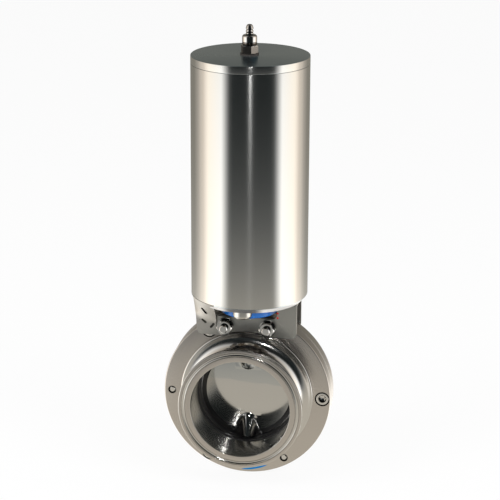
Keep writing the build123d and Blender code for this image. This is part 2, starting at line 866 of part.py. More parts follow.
def switch_guard():
    """Bent sheet guard: its top follows the tube rim and its foot lies on the front plate."""
    inner_r = tube_r - guard_thickness
    upper = [
        ThreePointArc(guard_top(0, tube_r), guard_top(0.5, tube_r), guard_top(1, tube_r)),
        Line(guard_top(1, tube_r), guard_top(1, inner_r)),
        ThreePointArc(guard_top(1, inner_r), guard_top(0.5, inner_r), guard_top(0, inner_r)),
        Line(guard_top(0, inner_r), guard_top(0, tube_r)),
    ]
    corners = [
        guard_foot(0, 0),
        guard_foot(1, 0),
        guard_foot(1, guard_thickness),
        guard_foot(0, guard_thickness),
    ]
    guard = loft([closed_outline(*upper), make_face(Polyline(*corners, close=True))])
    beside_plate = Box(plate_half + side_gap, plate_outer_y, cover_bottom - plate_bottom)
    beside_plate_z = (cover_bottom + plate_bottom) / 2
    guard -= Pos(-(plate_half + side_gap) / 2, -plate_outer_y / 2, beside_plate_z) * beside_plate
    foot_height = guard_knee_rise + guard_foot_drop
    foot = Box(guard_foot_width, guard_thickness, foot_height)
    foot_x = guard_foot_width / 2 - plate_half
    foot_z = bolt_z + guard_knee_rise - foot_height / 2
    guard += Pos(foot_x, -plate_outer_y - guard_thickness / 2, foot_z) * foot
    guard -= turned(
        (0, cover_bottom - side_gap),
        (tube_r - cover_chamfer + side_gap, cover_bottom - side_gap),
        (tube_r - rim_step + side_gap, tube_bottom - rim_step),
        (tube_r - rim_step + side_gap, tube_bottom),
        (0, tube_bottom),
    )
    slot = extrude(SlotOverall(guard_slot_length, guard_slot_width), 2 * guard_thickness, both=True)
    guard -= guard_face(guard_slot_across, guard_slot_down) * Rot(0, 0, guard_slot_tilt) * slot
    head_r = guard_screw_head_diameter / 2 + press_gap
    hole_r = guard_screw_diameter / 2 + side_gap
    hole = turned(
        (0, side_gap),
        (head_r, side_gap),
        (head_r, 0),
        (hole_r, -guard_screw_sink),
        (hole_r, -guard_thickness),
        (0, -guard_thickness),
    )
    for x, z in guard_screw_places():
        guard -= Pos(x, -plate_outer_y - guard_thickness, z) * Rot(90, 0, 0) * hole
    return guard


def guard_screw_places():
    """X and Z of the two screws through the guard's foot."""
    right = guard_foot_width - guard_screw_inset - plate_half
    return (right - guard_screw_spacing, bolt_z + guard_screw_rise), (right, bolt_z)


def guard_screws():
    """Slotted countersunk screws that hold the guard to the front plate."""
    head_r = guard_screw_head_diameter / 2
    radius = guard_screw_diameter / 2
    length = guard_thickness + plate_thickness - side_gap
    screws = []
    for (x, z), tilt in zip(guard_screw_places(), (-45.0, 60.0)):
        screw = turned(
            (0, 0),
            (head_r, 0),
            (radius, -guard_screw_sink),
            (radius, -length),
            (0, -length),
        )
        slot = Box(2 * guard_screw_head_diameter, screwdriver_slot_width, 2 * screwdriver_slot_depth)
        screw -= Rot(0, 0, tilt) * slot
        screws.append(Pos(x, -plate_outer_y - guard_thickness, z) * Rot(90, 0, 0) * screw)
    return Compound(children=screws)


def cam_slot(turn):
    """Helical cut that one end of the cross pin runs in."""
    radius = (sleeve_r + sleeve_bore / 2) / 2
    pitch = piston_travel * 360.0 / quarter_turn
    low_end = Pos(0, 0, pin_z - piston_travel) * Rot(0, 0, turn - quarter_turn)
    path = low_end * Helix(pitch, piston_travel, radius)
    wide = cross_pin_diameter + 2 * pin_side_gap
    start = path @ 0
    outward = Vector(start.X, start.Y, 0).normalized()
    section = Plane(origin=start, x_dir=outward, z_dir=path % 0) * Rectangle(sleeve_r, wide)
    cut = sweep(section, path=path, is_frenet=True)
    for angle, z in ((turn, pin_z), (turn - quarter_turn, pin_z - piston_travel)):
        end = Pos(radius, 0, z) * Rot(0, 90, 0) * Cylinder(wide / 2, sleeve_r)
        cut += Rot(0, 0, angle) * end
    return cut


def cam_shaft():
    """Output shaft: drive socket, bearing journal, collar and a sleeve with two helical slots."""
    shaft = turned(
        (0, shaft_bottom),
        (shaft_r, shaft_bottom),
        (shaft_r, collar_bottom),
        (collar_diameter / 2, collar_bottom),
        (collar_diameter / 2, collar_top),
        (sleeve_r, collar_top),
        (sleeve_r, sleeve_top),
        (sleeve_bore / 2, sleeve_top),
        (sleeve_bore / 2, sleeve_floor),
        (0, sleeve_floor),
    )
    socket = stem_square + 2 * square_gap
    depth = stem_square_length + square_gap
    shaft -= Pos(0, 0, shaft_bottom + depth / 2) * Box(socket, socket, depth)
    clip_top = cover_bottom - side_gap
    shaft -= turned(
        (shaft_r - circlip_depth, clip_top - circlip_thickness - press_gap),
        (shaft_r + 1, clip_top - circlip_thickness - press_gap),
        (shaft_r + 1, clip_top + press_gap),
        (shaft_r - circlip_depth, clip_top + press_gap),
    )
    shaft -= cam_slot(0.0)
    shaft -= cam_slot(180.0)
    return shaft


def shaft_circlip():
    """Retaining ring on the shaft, just under the bottom cover."""
    inner = shaft_r - circlip_depth + press_gap
    top = cover_bottom - side_gap
    return open_ring(inner, inner + circlip_width, top - circlip_thickness, top, shaft_r)


def indicator_ring():
    """Blue ring on the shaft end that shows the disc position."""
    top = cover_bottom - side_gap - circlip_thickness - side_gap
    rim_inner = indicator_r - indicator_rim_wall
    boss_r = shaft_r + indicator_rim_wall
    web_top = shaft_bottom + indicator_web_height
    ring = turned(
        (shaft_r + press_gap, shaft_bottom),
        (indicator_r - rim_edge_round, shaft_bottom),
        (indicator_r, shaft_bottom + rim_edge_round),
        (indicator_r, top - rim_edge_round),
        (indicator_r - rim_edge_round, top),
        (rim_inner, top),
        (rim_inner, web_top),
        (boss_r, web_top),
        (boss_r, top),
        (shaft_r + press_gap, top),
    )
    for hole in mark_bars(press_gap):
        ring -= hole
    return ring


def mark_bars(extra):
    """Round bars at the places of the two indicator marks, one above the other."""
    turn = math.radians(indicator_mark_angle)
    centre_z = (shaft_bottom + cover_bottom - side_gap) / 2
    bars = []
    for side in (-1, 1):
        z = centre_z + side * indicator_mark_pitch / 2
        radius = indicator_r - indicator_rim_wall / 4
        bar = Rot(0, 90, 0) * Cylinder(indicator_mark_diameter / 2 + extra, indicator_rim_wall / 2)
        place = Pos(radius * math.cos(turn), radius * math.sin(turn), z)
        bars.append(place * Rot(0, 0, indicator_mark_angle) * bar)
    return bars


def indicator_marks():
    """Two small red plugs in the rim of the indicator ring."""
    return Compound(children=mark_bars(0.0))


def shaft_bearing():
    """Plain bearing bush pressed into the bottom cover."""
    low = cover_bottom + wiper_height + 2 * side_gap
    inner = shaft_r + fit_gap
    return turned((inner, low), (bearing_r, low), (bearing_r, cover_boss_top), (inner, cover_boss_top))


def shaft_wiper():
    """Lip seal in the mouth of the bottom cover."""
    low = cover_bottom + side_gap
    inner = shaft_r + fit_gap
    high = low + wiper_height
    return turned((inner, low), (bearing_r, low), (bearing_r, high), (inner, high))


def thrust_washer():
    """Bearing washer between the cover boss and the shaft collar."""
    inner = shaft_r + fit_gap
    outer = collar_diameter / 2
    top = collar_bottom - fit_gap
    return turned((inner, cover_boss_top), (outer, cover_boss_top), (outer, top), (inner, top))


def guide_rods():
    """Two rods fixed in the bottom cover that keep the piston from turning."""
    rods = []
    for x in (-guide_rod_x, guide_rod_x):
        rod = bar_z(guide_rod_r, cover_top - rod_socket_depth, guide_rod_top, x)
        rods.append(chamfer(rod.edges().sort_by(Axis.Z)[-1], rod_tip_chamfer))
    return Compound(children=rods)


def seal_z():
    """Middle height of the piston seal."""
    return crown_bottom + 2 * ring_margin + seal_thickness / 2


def band_z():
    """Lower face of the piston guide band."""
    return piston_top - 2 * ring_margin - band_width


def piston():
    """Piston: crown with seal and band grooves, and a skirt that runs on the guide rods."""
    crown_r = tube_bore_r - piston_gap
    body = turned(
        (0, cavity_top),
        (cavity_r, cavity_top),
        (cavity_r, skirt_bottom),
        (skirt_r, skirt_bottom),
        (skirt_r, crown_bottom),
        (crown_r, crown_bottom),
        (crown_r, piston_top),
        (0, piston_top),
    )
    groove_low = seal_z() - seal_thickness / 2 - press_gap
    groove_high = seal_z() + seal_thickness / 2 + press_gap
    groove_floor = tube_bore_r - seal_gap - seal_thickness - press_gap
    body -= turned(
        (groove_floor, groove_low),
        (tube_r, groove_low),
        (tube_r, groove_high),
        (groove_floor, groove_high),
    )
    band_floor = tube_bore_r - seal_gap - band_thickness - press_gap
    body -= turned(
        (band_floor, band_z()),
        (tube_r, band_z()),
        (tube_r, band_z() + band_width),
        (band_floor, band_z() + band_width),
    )
    for x in (-guide_rod_x, guide_rod_x):
        body -= bar_z(guide_rod_r + guide_gap, skirt_bottom, guide_hole_top, x)
    return body - bar_z(rod_thread_diameter / 2 + press_gap, cavity_top, piston_top)


def piston_seal():
    """Sliding seal ring of the piston."""
    centre = tube_bore_r - seal_gap - seal_thickness / 2
    return o_ring(centre, seal_thickness, seal_z())


def guide_band():
    """Plastic band that keeps the piston off the tube."""
    outer = tube_bore_r - seal_gap
    inner = outer - band_thickness
    low = band_z() + press_gap
    high = band_z() + band_width - press_gap
    return turned((inner, low), (outer, low), (outer, high), (inner, high))


def piston_rod():
    """Rod under the piston that slides in the shaft sleeve and carries the cross pin."""
    thread_r = rod_thread_diameter / 2
    thread_top = piston_top + rod_nut_height + ring_margin
    rod = turned(
        (0, rod_bottom),
        (piston_rod_r, rod_bottom),
        (piston_rod_r, cavity_top),
        (thread_r, cavity_top),
        (thread_r, thread_top),
        (0, thread_top),
    )
    return rod - Pos(0, 0, pin_z) * Rot(0, 90, 0) * Cylinder(pin_r + press_gap, sleeve_diameter)


def cross_pin():
    """Hardened pin through the rod, with an end in each helical slot."""
    length = sleeve_diameter + 2 * cross_pin_stickout
    pin = Pos(0, 0, pin_z) * Rot(0, 90, 0) * Cylinder(pin_r, length)
    return chamfer(pin.edges().filter_by(GeomType.CIRCLE), screw_edge_chamfer)


def rod_nut():
    """Thin nut that holds the rod to the piston."""
    nut = hexagon_bar(rod_nut_width, rod_nut_height, ring_margin)
    nut -= bar_z(rod_thread_diameter / 2 + press_gap, -1, rod_nut_height + 1)
    return Pos(0, 0, piston_top) * nut


def return_spring():
    """Helical spring of rectangular wire between the bottom cover and the piston crown."""
    low = spring_floor + spring_end_gap + spring_wire_axial / 2
    high = crown_bottom - spring_end_gap - spring_wire_axial / 2
    path = Pos(0, 0, low) * Helix((high - low) / spring_turns, high - low, spring_mean_r)
    start = path @ 0
    across = Plane(origin=start, x_dir=(1, 0, 0), z_dir=path % 0)
    section = across * Rectangle(spring_wire_radial, spring_wire_axial)
    return sweep(section, path=path, is_frenet=True)


def save(shape, name):
    """Write one piece to its own file."""
    export_step(shape, f"parts/{name}.step")


os.makedirs("parts", exist_ok=True)
front_half = body_half()
save(front_half, "body_half_front")
save(Rot(0, 0, 180) * front_half, "body_half_rear")
save(seat(), "seat")
save(disc(), "disc_and_stem")
save(upper_stem_bush(), "upper_stem_bush")
save(lower_stem_bush(), "lower_stem_bush")
save(stem_o_ring(), "stem_o_ring")
save(body_screws(0.0), "front_body_screws")
save(body_screws(180.0), "rear_body_screws")
save(front_bracket_plate(), "bracket_plate_front")
save(Rot(0, 0, 180) * bracket_plate(), "bracket_plate_rear")
save(switch_guard(), "switch_guard")
save(guard_screws(), "guard_screws")
save(bracket_bolts(), "bracket_bolts")
save(bracket_nuts(), "bracket_nuts")
save(bracket_washers(), "bracket_washers")
save(bracket_fixing_screws(), "bracket_fixing_screws")
save(actuator_tube(), "actuator_tube")
save(bottom_cover(), "bottom_cover")
save(top_cap(), "top_cap")
save(o_ring(static_ring_r, static_ring_thickness, cover_seal_z()), "cover_o_ring")
save(o_ring(static_ring_r, static_ring_thickness, cap_seal_z()), "cap_o_ring")
save(snap_ring(cover_ring_z()), "cover_snap_ring")
save(snap_ring(cap_ring_z()), "cap_snap_ring")
save(sealing_washer(), "sealing_washer")
save(fitting_base(), "air_fitting_base")
save(air_nipple(), "air_nipple")
save(vent_plug(), "vent_plug")
save(cam_shaft(), "cam_shaft")
save(shaft_circlip(), "shaft_circlip")
save(indicator_ring(), "indicator_ring")
save(indicator_marks(), "indicator_marks")
save(shaft_bearing(), "shaft_bearing")
save(shaft_wiper(), "shaft_wiper")
save(thrust_washer(), "thrust_washer")
save(guide_rods(), "guide_rods")
save(piston(), "piston")
save(piston_seal(), "piston_seal")
save(guide_band(), "guide_band")
save(piston_rod(), "piston_rod")
save(cross_pin(), "cross_pin")
save(rod_nut(), "rod_nut")
save(return_spring(), "return_spring")
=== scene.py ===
import math

import bmesh
import bpy
import numpy as np
from mathutils import Matrix, Vector


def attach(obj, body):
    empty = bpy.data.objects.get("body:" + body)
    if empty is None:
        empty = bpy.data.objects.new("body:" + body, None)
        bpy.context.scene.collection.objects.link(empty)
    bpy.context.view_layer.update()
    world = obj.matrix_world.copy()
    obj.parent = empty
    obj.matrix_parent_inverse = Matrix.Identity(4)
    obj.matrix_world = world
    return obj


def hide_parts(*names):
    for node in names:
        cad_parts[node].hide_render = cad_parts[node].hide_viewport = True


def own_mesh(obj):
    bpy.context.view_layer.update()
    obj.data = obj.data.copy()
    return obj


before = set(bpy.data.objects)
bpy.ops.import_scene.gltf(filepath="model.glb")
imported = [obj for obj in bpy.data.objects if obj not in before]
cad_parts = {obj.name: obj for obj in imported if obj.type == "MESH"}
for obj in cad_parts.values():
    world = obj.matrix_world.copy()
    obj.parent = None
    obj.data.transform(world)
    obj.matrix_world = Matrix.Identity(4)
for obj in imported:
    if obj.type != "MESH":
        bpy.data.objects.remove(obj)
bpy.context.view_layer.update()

# Sizes in millimetres, as in the solids. The bore runs along Y and the stem along Z. FIT is the gap
# between pieces that fit into each other, and NEAR is how near a plane counts as on it.
MM = 0.001
ROUND_STEPS = 288
ARC_STEPS = 8
FIT = 0.05
NEAR = 0.01

# Body halves and their screws
PORT_R = 36.45
NECK_R = 38.1
GROOVE_R = 41.85
GROOVE_HALF = 1.55
FERRULE_R = 45.45
FERRULE_FACE = 41.2
FERRULE_RIM = 2.6
FERRULE_SLOPE = math.tan(math.radians(20.0))
FERRULE_EDGE = 0.5
PORT_EDGE = 0.4
FLARE = 8.5
HUB_R = 49.2
HUB_TOP = 12.4
HUB_EDGE = 1.0
FLANGE_R = 61.85
HALF = 10.4
RIM_EDGE = 0.8
JOINT_EDGE = 0.4
SCREW_CIRCLE_R = 56.0
COUNTERBORE_R = 5.5
COUNTERBORE_DEPTH = 6.3
THREAD_HOLE_R = 3.02
THREAD_HOLE_DEPTH = 9.9
SCREW_R = 3.0
SCREW_ANGLES = (0.0, 120.0, 240.0)
SCREW_FACE = 10.1
SCREW_LENGTH = 20.1
HEAD_R = 4.8
HEAD_HEIGHT = 6.0
HEAD_EDGE = 0.5
SOCKET_MOUTH_R = 2.95
SOCKET_HALF = 2.3
SOCKET_DEPTH = 3.0
SOCKET_BEVEL = 0.6
SOCKET_POINT = 0.9
SCREW_END_R = 1.7
SCREW_END_SLOPE = 0.9

# Seat
SEAT_R = 35.6
SEAT_OUTER_R = 42.9
SEAT_SHOULDER_R = 38.9
SEAT_HALF = 12.3
SEAT_BODY_HALF = 9.3
SEAT_GROOVE = 0.8
SEAT_GROOVE_AT = 6.6
SEAT_GROOVE_HALF = 1.6

# Disc with its bell-shaped hubs, and the stem
DISC_R = 35.25
DISC_MID = 4.0
DISC_PLAIN_R = 16.0
DISC_BEVEL_R = 31.65
DISC_BEVEL_Y = 3.0
DISC_EDGE_Y = 1.5
DISC_FACE_R = math.sqrt(DISC_R**2 - DISC_EDGE_Y**2)
HUB_START = 17.05
HUB_TOP_WIDTH = 9.0
HUB_TOP_Y = 3.4
HUB_WIDTH = 13.6
HUB_Y = 9.35
HUB_EDGE_Y = 1.2
HUB_PEAK = 1.1
HUB_NOSE = 0.6
HUB_BOW = 0.07
HUB_BLEND = 0.9
HUB_BLEND_LENGTH = 2.0
HUB_FALL = 2.0
HUB_TURN = 27.0
HUB_STEM = 31.0
STEM_R = 6.0
STEM_BOTTOM = -52.55

# Tube and covers
TUBE_R = 42.3
TUBE_BORE_R = 40.3
TUBE_BOTTOM = 76.95
TUBE_TOP = 246.55
RIM_STEP = 0.35
COVER_BORE_R = 14.5
COVER_BOTTOM = 73.2
COVER_TOP = 92.15
COVER_CHAMFER = 3.4
CAP_FACE = 252.25
CAP_BOTTOM = 235.65
CAP_EDGE = 0.5

# Return spring
SPRING_FLOOR = 88.15
SPRING_CEILING = 222.15
SPRING_END_GAP = 0.15
SPRING_R = 34.15
SPRING_WIDTH = 6.0
SPRING_HEIGHT = 5.0
SPRING_TURNS = 7
SPRING_STEPS = 48

# Indicator ring
SHAFT_BOTTOM = 62.6
RING_R = 20.8
RING_INNER_R = 12.02
RING_TOP = 71.7
RING_WALL = 3.0
RING_WEB = 66.2
RING_BOSS_R = 15.0
RING_EDGE = 0.8

# Air fitting, with the nipple's beads as (centre, radius, first angle, last angle)
FITTING_X = -0.6
HEX_HALF = 5.5
HEX_CORNER_R = 6.35
HEX_CUT = 1.4
HEX_LOW = 253.25
HEX_TOP = 259.3
HEX_TURN = -10.0
HEX_EDGE = 0.6
THREAD_R = 4.0
THREAD_BOTTOM = 246.3
FITTING_BODY_R = 5.3
FITTING_EDGE = 0.4
FITTING_EDGE_HEIGHT = 0.5
FITTING_GROOVE_Z = 261.3
FITTING_GROOVE_HALF = 0.25
FITTING_GROOVE = 0.3
FITTING_SHOULDER_Z = 266.4
FITTING_SHOULDER = 1.7
NIPPLE_NECK_R = 2.45
NIPPLE_LOW_BEAD = ((1.9, 267.3), 0.75, -35, 50)
NIPPLE_MIDDLE_BEAD = ((2.15, 268.8), 0.6, -50, 60)
NIPPLE_WAIST = (2.25, 269.85)
NIPPLE_HIGH_BEAD = ((2.0, 270.95), 0.75, -60, 40)
NIPPLE_TIP = ((0.6, 271.8), 1.9, 35, 90)
FITTING_TIP_Z = 273.7

# Breather
VENT_Y = -30.2
VENT_R = 6.7
VENT_HOLE_R = 1.2
VENT_LENGTH = 6.8
VENT_EDGE = 3.0

# Switch guard, with its slots as (x, z, tilt, length, width, y of the cut's end), and the red dots
GUARD_REAR = 3.0
GUARD_FRONT = 62.0
GUARD_TOP = 76.6
GUARD_KNEE = 60.0
GUARD_FACE = -14.7
GUARD_LEFT = -36.7
GUARD_WIDTH = 14.7
GUARD_BOTTOM = 49.5
GUARD_CORNER = 4.8
GUARD_BEND_HIGH = 11.0
GUARD_BEND_LOW = 4.5
GUARD_THICKNESS = 1.6
GUARD_COLUMNS = 40
GUARD_CUT_FROM = -40.0
GUARD_SLOTS = [
    (-30.2, 66.2, -54.0, 6.4, 2.3, -15.0),
    (-31.0, 57.0, -40.0, 4.6, 1.7, -13.3),
    (-24.9, 53.8, 50.0, 4.6, 1.8, -13.3),
]
PLATE_FACE = -13.0
RED_DOT_X = 22.9
RED_DOT_ZS = (61.8, 65.3)
RED_DOT_PROFILE = [(0, PLATE_FACE - 0.25), (0.5, PLATE_FACE - 0.2), (0.8, PLATE_FACE)]


# Shapes


def arc(centre, radius, start, end, steps=ARC_STEPS):
    """Points of an arc: centre plus radius times the cosine and sine of evenly spread angles."""
    turn = np.radians(np.linspace(start, end, steps + 1))
    return np.stack([centre[0] + radius * np.cos(turn), centre[1] + radius * np.sin(turn)], axis=1)


def chain(*parts):
    """One profile from points and arcs, in order, without doubled points."""
    points = np.concatenate([np.atleast_2d(np.asarray(part, dtype=float)) for part in parts])
    keep = np.ones(len(points), dtype=bool)
    keep[1:] = np.linalg.norm(np.diff(points, axis=0), axis=1) > 1e-6
    return points[keep]


def turned(profile, axis="Z", steps=ROUND_STEPS, centre=(0.0, 0.0)):
    """Surface of revolution: each (radius, height) of the profile times a full circle of angles."""
    turn = np.linspace(0.0, 2 * math.pi, steps, endpoint=False)[:, None]
    across = profile[None, :, 0] * np.cos(turn)
    along = profile[None, :, 0] * np.sin(turn)
    height = np.broadcast_to(profile[None, :, 1], across.shape)
    if axis == "Z":
        return np.stack([across + centre[0], along + centre[1], height], axis=-1)
    return np.stack([across + centre[0], height, along + centre[1]], axis=-1)


def grid_faces(rows, columns, wrap_rows, wrap_columns, first):
    """Four-cornered faces between neighbouring rows and columns of a grid."""
    row = np.arange(rows if wrap_rows else rows - 1)[:, None]
    column = np.arange(columns if wrap_columns else columns - 1)[None, :]
    next_row = (row + 1) % rows
    next_column = (column + 1) % columns
    corners = [
        row * columns + column,
        next_row * columns + column,
        next_row * columns + next_column,
        row * columns + next_column,
    ]
    return np.stack(corners, axis=-1).reshape(-1, 4) + first


# Whether the rows of a grid close up, and whether its columns do
RING = (True, True)
BAR = (True, False)
COIL = (False, True)
SHEET = (False, False)


def grid_mesh(name, grids, sharp):
    """One mesh from grids, each given as its points and how it closes."""
    points = []
    faces = []
    first = 0
    for grid, closes in grids:
        rows, columns = grid.shape[:2]
        points.append(grid.reshape(-1, 3))
        faces.append(grid_faces(rows, columns, *closes, first))
        first += rows * columns
    mesh = bpy.data.meshes.new(name)
    mesh.from_pydata((np.concatenate(points) * MM).tolist(), [], np.concatenate(faces).tolist())
    close_mesh(mesh)
    smooth(mesh, sharp)
    return mesh


def close_mesh(mesh):
    """Merges seams and poles and points all faces outwards."""
    shell = bmesh.new()
    shell.from_mesh(mesh)
    bmesh.ops.remove_doubles(shell, verts=shell.verts, dist=2e-6)
    bmesh.ops.dissolve_degenerate(shell, dist=1e-7, edges=shell.edges)
    bmesh.ops.recalc_face_normals(shell, faces=shell.faces)
    shell.to_mesh(mesh)
    shell.free()


def smooth(mesh, sharp):
    """Shades a mesh smooth up to a sharp angle in degrees."""
    mesh.shade_smooth()
    mesh.set_sharp_from_angle(angle=math.radians(sharp))


def put_in_scene(name, mesh, material):
    """An object with one material, at the origin, with its place in its mesh."""
    mesh.materials.append(material)
    shape = bpy.data.objects.new(name, mesh)
    bpy.context.scene.collection.objects.link(shape)
    return shape


def mesh_piece(name, body, grids, material, sharp=32.0, replaces=()):
    """A piece from grids that rides on a body and may stand in for nodes of the solids."""
    piece = put_in_scene(name, grid_mesh(name, grids, sharp), material)
    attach(piece, body)
    if replaces:
        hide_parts(*replaces)
    return piece


def cutter(name, grid):
    """A closed shape that is only used to cut others; the walls it cuts take its near-black painted
    shade.
    """
    return put_in_scene(name, grid_mesh(name, [(grid, BAR)], 30.0), PAINTED_SHADE)


def cut_out(piece, cutters, sharp):
    """Takes closed cutter shapes out of a piece and keeps the result as its mesh; the cut walls take the
    cutters' painted shade.
    """
    for shape in cutters:
        change = piece.modifiers.new("cut", "BOOLEAN")
        change.object = shape
        change.operation = "DIFFERENCE"
        change.solver = "EXACT"
        change.material_mode = "TRANSFER"
    bpy.context.view_layer.update()
    shaped = piece.evaluated_get(bpy.context.evaluated_depsgraph_get())
    mesh = bpy.data.meshes.new_from_object(shaped)
    piece.modifiers.clear()
    piece.data = mesh
    smooth(mesh, sharp)
    for shape in cutters:
        bpy.data.objects.remove(shape)


def rod(radius, low, high, centre):
    """Closed round bar along Y."""
    return turned(chain((0, low), (radius, low), (radius, high), (0, high)), "Y", 48, centre)


def hexagon_radius(turn, half_width):
    """Distance from the axis to the side of a hexagon at each angle: half width over the cosine."""
    return half_width / np.cos(turn % (math.pi / 3) - math.pi / 6)


def give_faces(piece, material, chosen):
    """Gives another finish to the faces that the test picks by their centres in mm and normals."""
    mesh = piece.data
    count = len(mesh.polygons)
    centre = np.empty(count * 3)
    normal = np.empty(count * 3)
    index = np.empty(count, dtype=np.int32)
    mesh.polygons.foreach_get("center", centre)
    mesh.polygons.foreach_get("normal", normal)
    mesh.polygons.foreach_get("material_index", index)
    mesh.materials.append(material)
    index[chosen(centre.reshape(-1, 3) / MM, normal.reshape(-1, 3))] = len(mesh.materials) - 1
    mesh.polygons.foreach_set("material_index", index)


# Materials

TURNING_FINENESS = 4000.0

# The blue trace: the angle of its start in degrees, its radius there, how much that shrinks with
# each degree, half its width in mm, its middle in degrees from the start and half its length. The
# squared shares of both halves are added: it is full up to TRACE_FADE and gone at TRACE_END.
TRACE_START = -85.0
TRACE_R = 58.8
TRACE_SHRINK = 0.13
TRACE_HALF_WIDTH = 0.75
TRACE_MIDDLE = 1.0
TRACE_HALF_LENGTH = 9.5
TRACE_FADE = 0.75
TRACE_END = 1.15

# The painted shadow under the cover: its middle and where it ends and is full, as angles in radians. Then
# the painted reflection on the upper disc: the scale and height of its waves and where it starts and is
# full, as heights in mm.
SHADOW_TURN = 0.03
SHADOW_OUTER = 0.42
SHADOW_INNER = 0.22
SHADOW_SHARE = 0.85
REFLECTION_WAVE_SCALE = 45.0
REFLECTION_WAVE = 14.0
REFLECTION_LOW = 13.0
REFLECTION_HIGH = 15.0
REFLECTION_SHARE = 0.75


def feed(tree, value, socket):
    """Sets an input to a value, or links it to another node's output."""
    if isinstance(value, bpy.types.NodeSocket):
        tree.links.new(value, socket)
    else:
        socket.default_value = value


def maths(tree, operation, *values):
    """A Math node on values and outputs."""
    node = tree.nodes.new("ShaderNodeMath")
    node.operation = operation
    for socket, value in zip(node.inputs, values):
        feed(tree, value, socket)
    return node.outputs[0]


def mixed(tree, kind, share, first, second):
    """Two colours blended by a share, or by the given kind of blend."""
    node = tree.nodes.new("ShaderNodeMix")
    node.data_type = "RGBA"
    node.blend_type = kind
    values = {"Factor": share, "A": first, "B": second}
    for label, value in values.items():
        feed(tree, value, node.inputs[label])
    return node.outputs["Result"]


def noise(tree, vector, scale, detail=2.0, roughness=0.5):
    """A noise pattern on the given coordinates, with its scale, detail and roughness."""
    node = tree.nodes.new("ShaderNodeTexNoise")
    values = {"Vector": vector, "Scale": scale, "Detail": detail, "Roughness": roughness}
    for label, value in values.items():
        feed(tree, value, node.inputs[label])
    return node.outputs["Fac"]


def stretched(tree, scale):
    """Object coordinates, scaled apart along X, Y and Z."""
    place = tree.nodes.new("ShaderNodeTexCoord")
    mapping = tree.nodes.new("ShaderNodeMapping")
    mapping.inputs["Scale"].default_value = scale
    tree.links.new(place.outputs["Object"], mapping.inputs["Vector"])
    return mapping.outputs["Vector"]


def length_of(tree, vector):
    """Length of a vector."""
    node = tree.nodes.new("ShaderNodeVectorMath")
    node.operation = "LENGTH"
    tree.links.new(vector, node.inputs[0])
    return node.outputs["Value"]


def taken_apart(tree, vector):
    """The X, Y and Z of a vector."""
    node = tree.nodes.new("ShaderNodeSeparateXYZ")
    tree.links.new(vector, node.inputs[0])
    return node.outputs


def sum_of_squares(tree, first, second):
    """The square of one value plus the square of another."""
    squares = [maths(tree, "MULTIPLY", value, value) for value in (first, second)]
    return maths(tree, "ADD", *squares)


def soft_step(tree, value, low, high):
    """Rises smoothly from 0 at the first value to 1 at the second."""
    node = tree.nodes.new("ShaderNodeMapRange")
    node.interpolation_type = "SMOOTHSTEP"
    node.inputs["From Min"].default_value = low
    node.inputs["From Max"].default_value = high
    tree.links.new(value, node.inputs["Value"])
    return node.outputs["Result"]


def new_group(name, inputs, outputs):
    """An empty shader node group with named number inputs and named outputs."""
    group = bpy.data.node_groups.new(name, "ShaderNodeTree")
    for label, value in inputs.items():
        socket = group.interface.new_socket(label, in_out="INPUT", socket_type="NodeSocketFloat")
        socket.default_value = value
    for label in outputs:
        group.interface.new_socket(label, in_out="OUTPUT", socket_type="NodeSocketFloat")
    given = group.nodes.new("NodeGroupInput")
    result = group.nodes.new("NodeGroupOutput")
    return group, given.outputs, result.inputs


def placed_group(tree, group, **values):
    """The outputs of a group that is placed in a material with its own values."""
    node = tree.nodes.new("ShaderNodeGroup")
    node.node_tree = group
    for label, value in values.items():
        node.inputs[label].default_value = value
    return node.outputs


def smudge_group():
    """Cloudy handling marks: a wide noise, less its middle, times an amount."""
    group, given, result = new_group("smudges", {"Scale": 30.0, "Amount": 0.1}, ["Value"])
    wide = noise(group, stretched(group, (1, 1, 1)), given["Scale"], 3.0, 0.55)
    centred = maths(group, "SUBTRACT", wide, 0.5)
    group.links.new(maths(group, "MULTIPLY", centred, given["Amount"]), result["Value"])
    return group


def marks_group(name, pattern):
    """Fine tool marks from a pattern: its value as a height and, less its middle, as a tone."""
    group, given, result = new_group(name, {"Tone": 0.05}, ["Height", "Tone"])
    lines = pattern(group)
    group.links.new(lines, result["Height"])
    centred = maths(group, "SUBTRACT", lines, 0.5)
    group.links.new(maths(group, "MULTIPLY", centred, given["Tone"]), result["Tone"])
    return group


def grain_group(name, scale):
    """Grain: a noise that changes fast along the axes with a large scale, slowly along the others."""
    return marks_group(name, lambda group: noise(group, stretched(group, scale), 1.0, 3.0, 0.7))


def turning_group(name, across):
    """Turning marks on a flat face: noise that depends only on the distance from an axis."""

    def circles(group):
        lines = group.nodes.new("ShaderNodeTexNoise")
        lines.noise_dimensions = "1D"
        lines.inputs["Detail"].default_value = 2.0
        lines.inputs["Scale"].default_value = TURNING_FINENESS
        group.links.new(length_of(group, stretched(group, across)), lines.inputs["W"])
        return lines.outputs["Fac"]

    return marks_group(name, circles)


def mask_group(name, mask):
    """A group that puts out a mask, worked out from the object coordinates in mm as X, Y and Z."""
    group, _, result = new_group(name, {}, ["Mask"])
    place = taken_apart(group, stretched(group, (1 / MM, 1 / MM, 1 / MM)))
    group.links.new(mask(group, place), result["Mask"])
    return group


def trace_mask(group, place):
    """A thin crescent on the flange face: a band round a radius that shrinks along the arc."""
    turn = maths(group, "ARCTAN2", place["Z"], place["X"])
    along = maths(group, "MULTIPLY_ADD", turn, 180 / math.pi, -TRACE_START)
    middle = maths(group, "MULTIPLY_ADD", along, -TRACE_SHRINK, TRACE_R)
    radius = maths(group, "SQRT", sum_of_squares(group, place["X"], place["Z"]))
    across = maths(group, "DIVIDE", maths(group, "SUBTRACT", radius, middle), TRACE_HALF_WIDTH)
    length = maths(group, "DIVIDE", maths(group, "SUBTRACT", along, TRACE_MIDDLE), TRACE_HALF_LENGTH)
    return soft_step(group, sum_of_squares(group, across, length), TRACE_END, TRACE_FADE)


